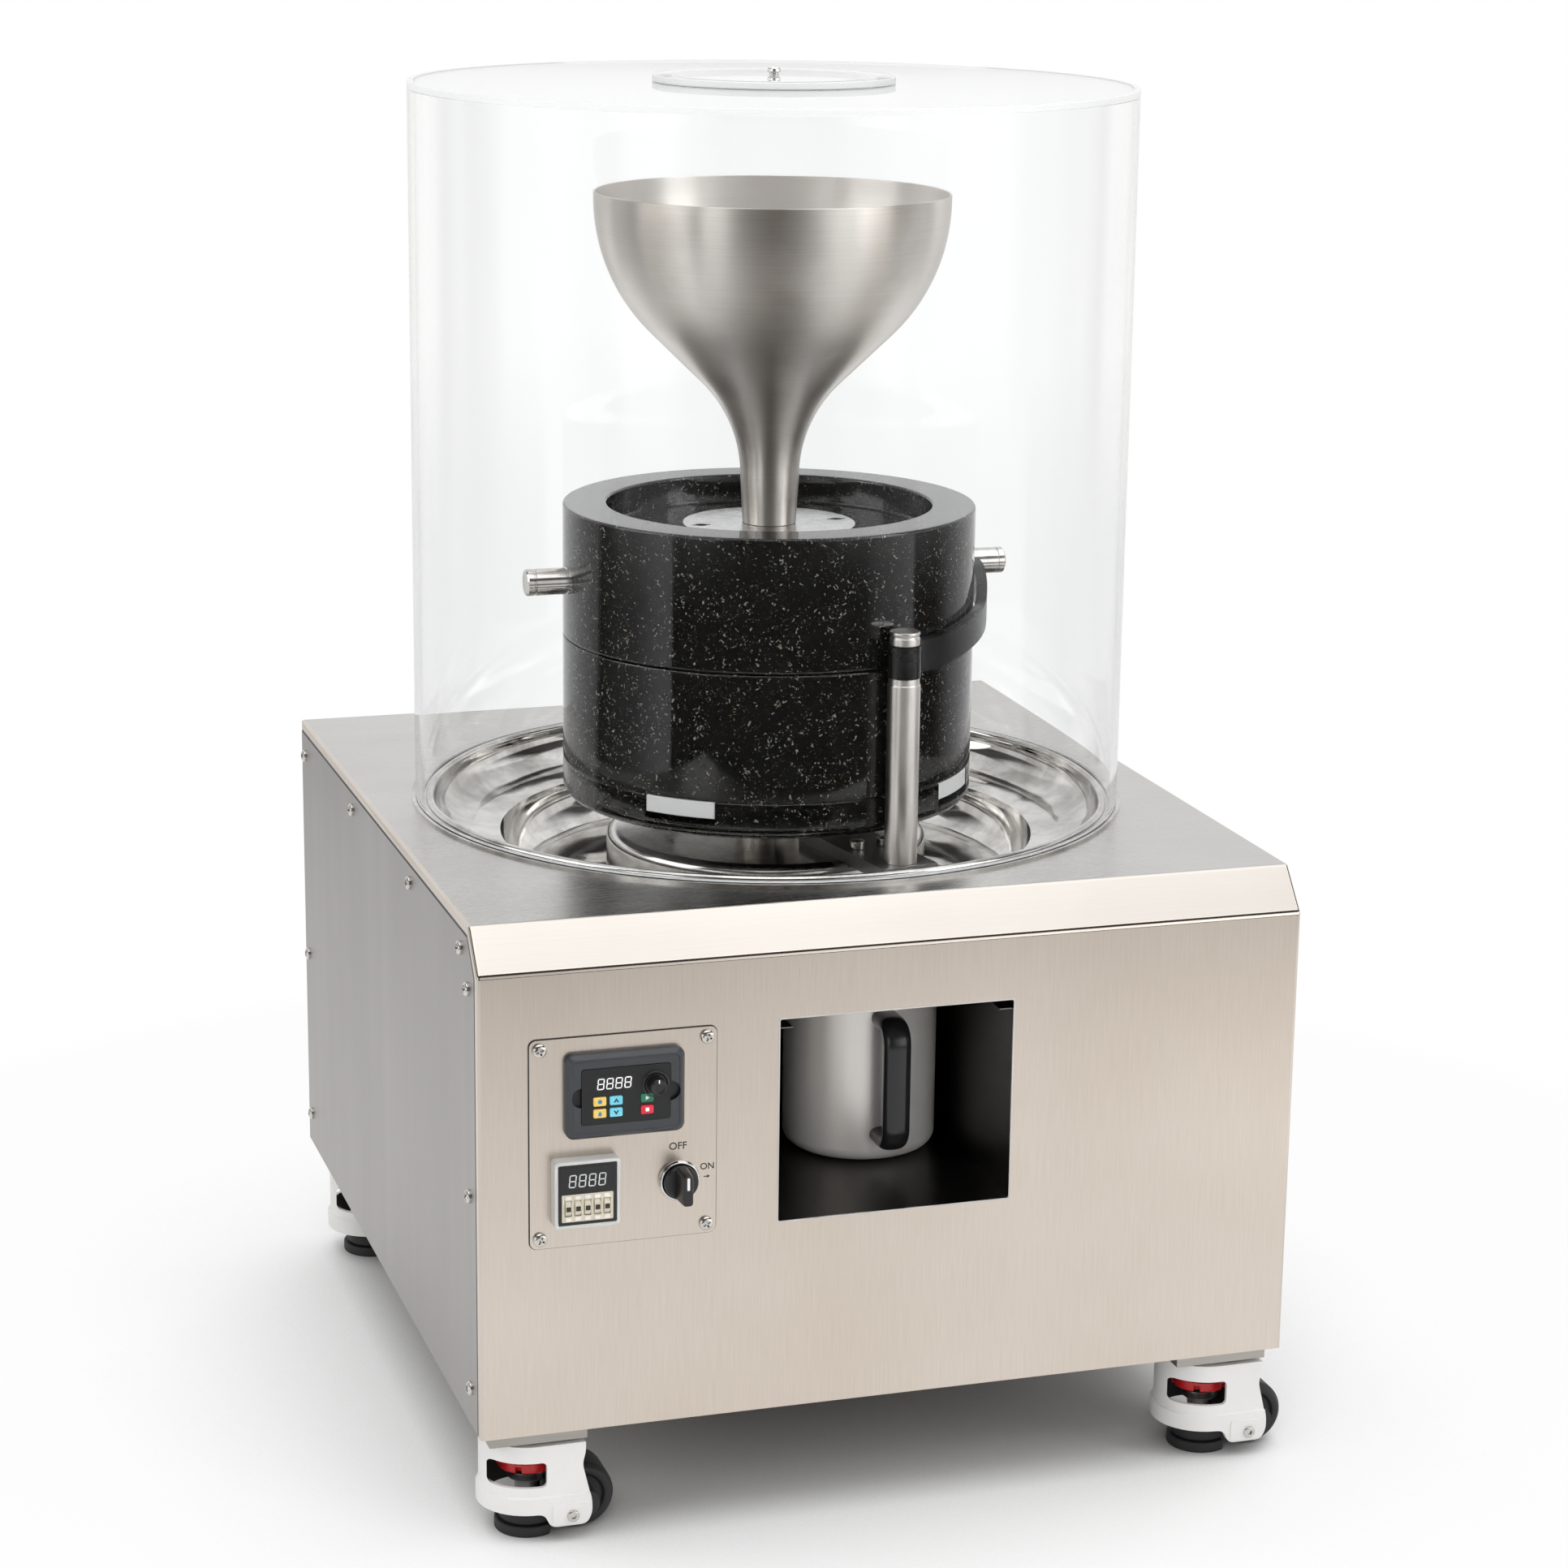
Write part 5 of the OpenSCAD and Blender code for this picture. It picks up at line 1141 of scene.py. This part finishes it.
def timer_wheels():
    """Five setting wheels with nicks in their rims and dark marks between them."""
    section = eased([(1.54, -2.1), (7.5, -2.1), (7.5, 2.1), (1.54, 2.1)], 0.25, 2, True)
    for i, x in enumerate(WHEEL_X):
        at = (x, WHEEL_Y, WHEEL_Z)
        blank = turned(section, ivory, 60, at, "right", True)
        nicks = [round_bar(0.9, -4, 4, ivory, 10, (x, ny, nz), "right")
                 for ny, nz in arc(WHEEL_Y, WHEEL_Z, 8.0, 8.0, 18, 342, 9)]
        name = "timer_wheel_%d" % (i + 1)
        settle(name + "_turned", cut(blank, joined(*nicks)), ivory, name, (name,), crease=30)
        patches = []
        for n in range(5):
            patch = front_block(rounded(3.3, 3.4, 0.3, (0, 0), 2), -7.2, -7.53)
            patch.transform(Matrix.Translation(Vector(at) * MM)
                            @ Matrix.Rotation(2 * math.pi * n / 5, 4, "X"))
            patches.append(patch)
        settle(name + "_marks", joined(*patches), dark_print_and_shade, name, crease=30)


def selector():
    """Selector switch: bright ring, contact block behind, and the knob with its grip and line."""
    x, z = SELECTOR
    base, at = PLATE_FACE - 4.8, (x, PLATE_FACE, z)
    ring = eased([(6.1, 0), (14.8, 0), (14.8, 2.4), (13.6, 4.5), (12.5, 4.5), (12.1, 3.6), (6.1, 3.6)],
                 0.5, 3, True)
    settle("selector_ring", turned(ring, chrome, 96, at, "front", True), chrome, "cabinet",
           ("selector_body",), crease=26)
    case = front_block(rounded(30, 42, 2, SELECTOR, 3), FRONT_Y + 31, FRONT_Y + 72)
    barrel = round_bar(11, -33, -1.6, black_plastic, 48, at, "front")
    settle("selector_contact_block", joined(case, barrel), black_plastic, "cabinet",
           crease=30)
    section = eased([(0, -20), (6, -20), (6, 0), (12, 0), (12, 3.6), (11.2, 4.5), (0, 4.5)], 0.4, 3)
    disc = turned(section, black_plastic, 72, (x, base, z), "front")
    levels = ((9.6, 23.6, 3.2, 4.0), (9.2, 23.4, 3.0, 6.0), (8.0, 23.0, 2.6, 14.5), (7.2, 22.2, 2.3, 19.2),
              (6.0, 21.0, 1.9, 20.4))
    grip = ring_loft([(rounded(w, h, r, SELECTOR, 6), base - out) for w, h, r, out in levels])
    settle("selector_grip", joined(disc, grip), black_plastic, "selector_knob",
           ("selector_knob",), crease=34)
    line = front_block(rounded(1.9, 9.0, 0.6, (x, z + 5.2), 3), base - 20.0, base - 20.45)
    settle("selector_line", line, mark_white, "selector_knob", crease=30)


def panel_words():
    """The two places of the switch, and the small arrow beside it."""
    parts = []
    for text, tall, cx, cz in (("OFF", 5.4, -0.6, 24.2), ("ON", 4.8, 20.4, 7.6)):
        words = bpy.data.curves.new("words", "FONT")
        words.body, words.size = text, tall * MM * 1.35
        words.align_x, words.align_y = "CENTER", "CENTER"
        words.extrude, words.offset = 0.04 * MM, 0.08 * MM
        holder = linked("words", words)
        mesh = plain_mesh(holder)
        bpy.data.objects.remove(holder)
        place = Vector((SELECTOR[0] + cx, PLATE_FACE - 0.04, SELECTOR[1] + cz))
        mesh.transform(Matrix.Translation(place * MM) @ AIMS["front"].to_4x4())
        parts.append(mesh)
    arrow = ((-2.2, -0.35), (0.4, -0.35), (0.4, -1.3), (2.4, 0), (0.4, 1.3), (0.4, 0.35), (-2.2, 0.35))
    line = [(SELECTOR[0] + 20.0 + px, SELECTOR[1] + 0.4 + pz) for px, pz in arrow]
    parts.append(front_block(line, PLATE_FACE, PLATE_FACE - 0.08))
    for mesh in parts:
        mesh.materials.clear()
    settle("switch_words", joined(*parts), dark_print_and_shade, "cabinet", crease=30)


for make in (control_plate, drive_surround, keypad, speed_knob, timer, timer_wheels, selector, panel_words):
    make()


# Casters

def caster_plan(r):
    """Plan of a caster housing: a half round with two straight sides."""
    return arc(0, 0, r, r, 90, 270, 24) + [(60, -r), (60, r)]


def caster_housing():
    """Cast housing of one caster: skirt with a belt, two arms, a window on each side, and its inner faces
    painted dark as shade.
    """
    levels = ((36.4, 0), (36.4, 35.0), (34.4, 35.8), (34.4, 73.4))
    block = ring_loft([(caster_plan(r), -z) for r, z in levels])
    block.transform(LAID)
    side = eased([(-42, 23), (4, 23), (8, 12.5), (34, 12.5), (38, 20), (38, 30), (31.5, 57), (34, 66),
                  (34, 90), (-42, 90)], 7, 4, True)
    around = cut(front_block(box_line(-60, -20, 80, 88), 60, -60), front_block(side, 70, -70))
    housing = cut(outward(block), upright_block(caster_plan(31.5), -5, 62), around,
                  front_block(rounded(38, 18.5, 3.5, (-13, 51.75), 4), 70, -70),
                  round_bar(14.3, 66, 80, white_paint, 48), round_bar(6.3, 58, 70, white_paint, 32))
    outward(housing, 0.00025)
    boss = eased([(9.5, 14), (33, 14), (36.5, 20.5), (36.5, 29.5), (9.5, 29.5)], 2.5, 3, True)
    housing = joined(housing, *(front_block(boss, s * 36.0, s * 37.3) for s in (-1, 1)))

    # Inner faces of the skirt and the roof's underside take the painted shade.
    def inside(spot, way):
        out = Vector((min(spot.x, 0.0), spot.y)).normalized()
        inner = out.x * way.x + out.y * way.y < -0.5 and math.hypot(min(spot.x, 0), spot.y) < 32.5
        under = way.z < -0.9 and spot.z > 61
        return spot.z < 62.5 and (inner or under)

    return painted(housing, (white_paint, housing_painted_shade), inside)


def flat_disc(r, flat, low, high):
    """A disc with one side cut flat, clear of the wheel."""
    a = math.degrees(math.acos(flat / r))
    return upright_block(arc(0, 0, r, r, a, 360 - a, 40), low, high)


def caster_shapes():
    """Meshes of one caster round its swivel axis, by the names of the pieces."""
    tyre = eased([(10, -15), (15.4, -15), (16.6, -17.6), (18.4, -18), (21, -18), (24, -14), (24, 14),
                  (21, 18), (18.4, 18), (16.6, 17.6), (15.4, 15), (10, 15)], 1.4, 3)
    wheel = turned([(0, -31), (10, -31)] + tyre + [(10, 31), (0, 31)], rubber, 72, (35, 0, 24.6), "front")
    pad = joined(flat_disc(23.5, 11.4, 0, 8), flat_disc(20.5, 9.8, 7.9, 16))
    bearing = eased([(14.6, 73.1), (25, 73.1), (25, 76), (14.6, 76)], 0.4, 2, True)
    stem = eased([(0, 7.9), (9, 7.9), (9, 38), (14, 38), (14, 44), (6, 44), (6, 62.5), (0, 62.5)], 0.8, 2)
    ring = eased([(6.2, 47.5), (21.5, 47.5), (21.5, 55), (6.2, 55)], 1.0, 3, True)
    gaps = [upright_block(swung(box_line(16, -2.4, 26, 2.4), a), 40, 52.5) for a in range(0, 360, 60)]
    bx, bz = 24, 20
    bolt = eased([(0, -1), (4.4, -1), (4.4, 1.2), (3.7, 1.8), (0, 1.8)], 0.4, 2)
    bolt = cut(turned(bolt, screw_steel, 32, (bx, -37.3, bz), "front"),
               front_block(round_line(2.1, (bx, bz), 6), -37.7, -41))
    other = bolt.copy()
    other.transform(Matrix.Translation((2 * bx * MM, 0, 0)) @ Matrix.Rotation(math.pi, 4, "Z"))
    return {"caster_housing": caster_housing(), "caster_bolts": joined(bolt, other),
            "caster_bearing": turned(bearing, dark_steel, 60, loop=True), "caster_tyre": wheel,
            "foot_pad": pad, "foot_stem": turned(stem, dark_steel, 40),
            "foot_ring": cut(turned(ring, red_plastic, 60, loop=True), *gaps)}


def casters():
    """Four casters; of the pieces on one body, the first stands for its node."""
    shapes = caster_shapes()
    rows = (("caster_housing", "fork", white_paint, "white_paint", True, 0.9, 32),
            ("caster_bolts", "fork", screw_steel, "steel_bright", False, 0, 30),
            ("caster_bearing", "fork", dark_steel, "steel_dark", False, 0, 30),
            ("caster_tyre", "wheel", rubber, "rubber", True, 0, 28),
            ("foot_pad", "foot", rubber, "rubber", True, 1.2, 40),
            ("foot_stem", "foot", dark_steel, "steel_dark", False, 0, 30),
            ("foot_ring", "foot", red_plastic, "key_red", False, 0, 30))
    for corner, (x, y) in CORNERS.items():
        for kind, part, finish, slot, stands, soft, crease in rows:
            body = "caster_%s_%s" % (part, corner)
            settle("%s_%s" % (kind, corner), moved(shapes[kind], x, y), finish, body,
                   (body,) if stands else (), soft, 3, crease)


casters()

# Pieces hidden inside the cabinet keep their CAD shape
for node, finish in (("mill_frame", dark_steel), ("spindle_bearings", pin_steel),
                     ("gear_motor", motor_paint)):
    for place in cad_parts[node].material_slots:
        place.material = finish

# Floor, light and camera

def seen_directly(tree):
    """1 for rays from the camera, from gloss and through glass, else 0."""
    path = add(tree, "ShaderNodeLightPath").outputs
    gloss = sums(tree, path["Is Camera Ray"], path["Is Glossy Ray"], "MAXIMUM")
    return sums(tree, gloss, path["Is Transmission Ray"], "MAXIMUM")


def floor_sheet():
    """Pale floor: it takes the mill's shadow near by, deepened by painted shade from ambient occlusion, and
    turns to plain white farther off.
    """
    finish, tree, shader = new_finish("pale_floor", {"Roughness": 0.9, "Specular IOR Level": 0.0})
    place = place_of(tree)
    # Painted shadow: the floor's colour darkens where ambient occlusion finds the mill close.
    occlusion_shade = add(tree, "ShaderNodeAmbientOcclusion", {"Distance": 0.5}, samples=4).outputs["AO"]
    pale = tone(tree, noise(tree, place, 3.0), rgb(0.86, 0.86, 0.86), rgb(0.89, 0.89, 0.89))
    tree.links.new(tone(tree, span(tree, occlusion_shade, 0.1, 0.7, 0.0, 1.0), rgb(0.42, 0.415, 0.41), pale),
                   shader.inputs["Base Color"])
    far = add(tree, "ShaderNodeVectorMath", {0: place}, operation="LENGTH").outputs["Value"]
    fade = add(tree, "ShaderNodeMapRange", {"Value": far, "From Min": 0.36, "From Max": 1.05, "To Min": 0.0},
               interpolation_type="SMOOTHSTEP").outputs["Result"]
    occlusion_shade = add(tree, "ShaderNodeMapRange", {"Value": occlusion_shade, "From Min": 0.38, "From Max": 0.72,
                                                "To Max": 0.94},
                   interpolation_type="SMOOTHSTEP").outputs["Result"]
    fade = sums(tree, fade, occlusion_shade, "MAXIMUM")
    white = add(tree, "ShaderNodeEmission", {"Strength": 1.0}).outputs[0]
    both = add(tree, "ShaderNodeMixShader", {0: sums(tree, fade, seen_directly(tree), "MULTIPLY"),
                                             1: shader.outputs[0], 2: white}).outputs[0]
    tree.links.new(both, tree.nodes["Material Output"].inputs["Surface"])
    half = 14.0
    sheet = bpy.data.meshes.new("floor")
    sheet.from_pydata([(x, y, 0) for x, y in box_line(-half, -half, half, half)], [], [(0, 1, 2, 3)])
    sheet.materials.append(finish)
    floor = linked("floor", sheet)


def between(stops, value):
    """Straight-line reading of a list of (place, level) stops."""
    for (x0, y0), (x1, y1) in zip(stops, stops[1:]):
        if x0 <= value <= x1:
            return y0 + (y1 - y0) * (value - x0) / max(x1 - x0, 1e-6)
    return stops[0][1] if value < stops[0][0] else stops[-1][1]


def room_in_front():
    """The room before the mill, seen only in reflections: dark, with pale windows and lit strips of floor."""
    finish, tree, _ = new_finish("room_in_front", {})
    glow = add(tree, "ShaderNodeAttribute", attribute_name="glow").outputs["Color"]
    mottle = span(tree, noise(tree, place_of(tree), 1.2), 0.2, 0.8, 0.9, 1.0)
    lit = add(tree, "ShaderNodeEmission", {"Color": glow, "Strength": mottle}).outputs[0]
    bounces = add(tree, "ShaderNodeLightPath").outputs["Glossy Depth"]
    gone = add(tree, "ShaderNodeBsdfTransparent").outputs[0]
    both = add(tree, "ShaderNodeMixShader", {0: sums(tree, bounces, 0.5, "GREATER_THAN"),
                                             1: gone, 2: lit}).outputs[0]
    tree.links.new(both, tree.nodes["Material Output"].inputs["Surface"])
    # Stops of brightness by the turn from the camera's direction, in degrees
    reach, count = 165, 330
    on_floor = ((-165, 1), (-140, 0.8), (-118, 0.4), (-104, 0), (-76, 0.3), (-60, 1), (-53, 1), (-52, 0),
                (54, 0), (60, 0.4), (85, 1), (87, 0), (104, 0), (118, 0.4), (140, 0.8), (165, 1))
    on_wall = ((-130, 0.45), (-122, 0.1), (-94, 0.1), (-88, 0.55), (-66, 0.55), (-56, 0.25), (-48, 0.3),
               (-43, 1), (-31, 1), (-24, 0.35), (-14, 0.05), (16, 0.05), (30, 0.4), (40, 0.85), (48, 1),
               (64, 0.9), (84, 0.7), (107, 0.4), (116, 0.15), (122, 0.1), (130, 0.45))
    on_flank = ((-130, 0.45), (-94, 0.45), (-88, 0), (104, 0), (110, 0.45), (130, 0.45))
    in_pool = ((-130, 1), (15, 1.0), (32, 1.1), (46, 1.3), (60, 1.35), (90, 1.1), (130, 1))
    overhead = ((-130, 1), (-112, 0), (112, 0), (130, 1))
    floor_dark, wall_dark = Vector((0.03, 0.026, 0.022)), Vector((0.075, 0.056, 0.042))
    roof_dark = Vector((0.05, 0.045, 0.04))
    white = Vector((1, 1, 1))
    near, middle, wide, sill, tall = 1.9, 3.4, 6.0, 2.5, 5.0
    points, tints, faces = [], [], []
    for i in range(count + 1):
        turn = -reach + 2 * reach * i / count
        a = math.radians(CAMERA_TURN + turn)
        aim = Vector((math.sin(a), -math.cos(a), 0))
        low = floor_dark.lerp(white, between(on_floor, turn))
        high = wall_dark.lerp(white * 2.2, between(on_wall, turn))
        upper = wall_dark.lerp(white * 2.2, max(between(on_wall, turn), between(on_flank, turn)))
        roof, pool = roof_dark.lerp(white, between(overhead, turn)), white * between(in_pool, turn)
        rows = ((0.95, 0.002, white), (1.15, 0.002, pool), (near - 0.02, 0.002, pool), (near, 0.002, low),
                (middle, 0.002, low), (wide, 0.002, high), (wide, 1.0, high), (wide, 1.1, upper),
                (wide, sill, upper), (wide, sill + 0.4, roof), (wide, tall, roof), (4.8, tall, roof))
        for out, up, tint in rows:
            points.append(aim * out + Vector((0, 0, up)))
            tints += [tint.x, tint.y, tint.z, 1.0]
    for i in range(count):
        for j in range(len(rows) - 1):
            k = len(rows) * i + j
            faces.append((k, k + 1, k + 1 + len(rows), k + len(rows)))
    mesh = bpy.data.meshes.new("room_in_front")
    mesh.from_pydata(points, [], faces)
    mesh.attributes.new("glow", "FLOAT_COLOR", "POINT").data.foreach_set("color", tints)
    mesh.materials.append(finish)
    room = linked("room_in_front", mesh)
    room.visible_camera = room.visible_diffuse = room.visible_shadow = False


def studio():
    """Floor, room, pale air and the lamps."""
    floor_sheet()
    room_in_front()
    world = bpy.data.worlds.new("studio_air")
    scene.world = world
    world.use_nodes = True
    air = world.node_tree
    strength = span(air, seen_directly(air), 0.0, 1.0, 0.42, 1.0)
    air.links.new(strength, air.nodes["Background"].inputs["Strength"])
    air.nodes["Background"].inputs["Color"].default_value = rgb(1, 1, 1)

    for name, place, aim, size, power, beam, mirrored, through in (
            ("softbox_top", (0.3, -0.8, 3.3), (0.1, -0.2, 0.4), (4.2, 3.4), 39.0, 180, True, True),
            ("softbox_left", (-2.5, 0.05, 1.8), (0, 0, 0.75), (1.9, 1.7), 24.0, 180, False, True),
            ("softbox_right", (2.05, -1.65, 1.8), (0, 0, 0.5), (1.2, 1.7), 19.0, 180, False, True),
            ("softbox_front", (-0.75, -2.5, 1.55), (0, 0, 0.35), (1.4, 1.4), 17.0, 180, False, False),
            ("pocket_lamp", (0.25, -2.3, 0.42), (0, -0.25, 0.3), (0.4, 0.3), 0.22, 16, False, False)):
        lamp = bpy.data.lights.new(name, "AREA")
        lamp.shape, lamp.size, lamp.size_y, lamp.energy = "RECTANGLE", size[0], size[1], power
        lamp.spread = math.radians(beam)
        holder = linked(name, lamp)
        holder.location = place
        holder.rotation_euler = (Vector(aim) - Vector(place)).to_track_quat("-Z", "Y").to_euler()
        holder.visible_camera, holder.visible_glossy, holder.visible_transmission = False, mirrored, through


def camera():
    """The photograph's camera: its place in millimetres, its turns in degrees, its focal length."""
    eye, rise, roll = (-826.4, -2642.4, 1163.3), 14.36, 0.71
    a, e, r = (math.radians(v) for v in (CAMERA_TURN, rise, roll))
    back = Vector((math.sin(a) * math.cos(e), -math.cos(a) * math.cos(e), math.sin(e)))
    right = Vector((math.cos(a), math.sin(a), 0))
    up = back.cross(right)
    right, up = right * math.cos(r) + up * math.sin(r), up * math.cos(r) - right * math.sin(r)
    lens = bpy.data.cameras.new("camera")
    lens.lens, lens.sensor_width, lens.clip_end = 85.78, 36.0, 60.0
    holder = linked("camera", lens)
    turned_to = Matrix((right, up, back)).transposed().to_4x4()
    holder.matrix_world = Matrix.Translation(Vector(eye) * MM) @ turned_to
    scene.camera = holder


studio()
camera()
scene.view_settings.view_transform = "Standard"
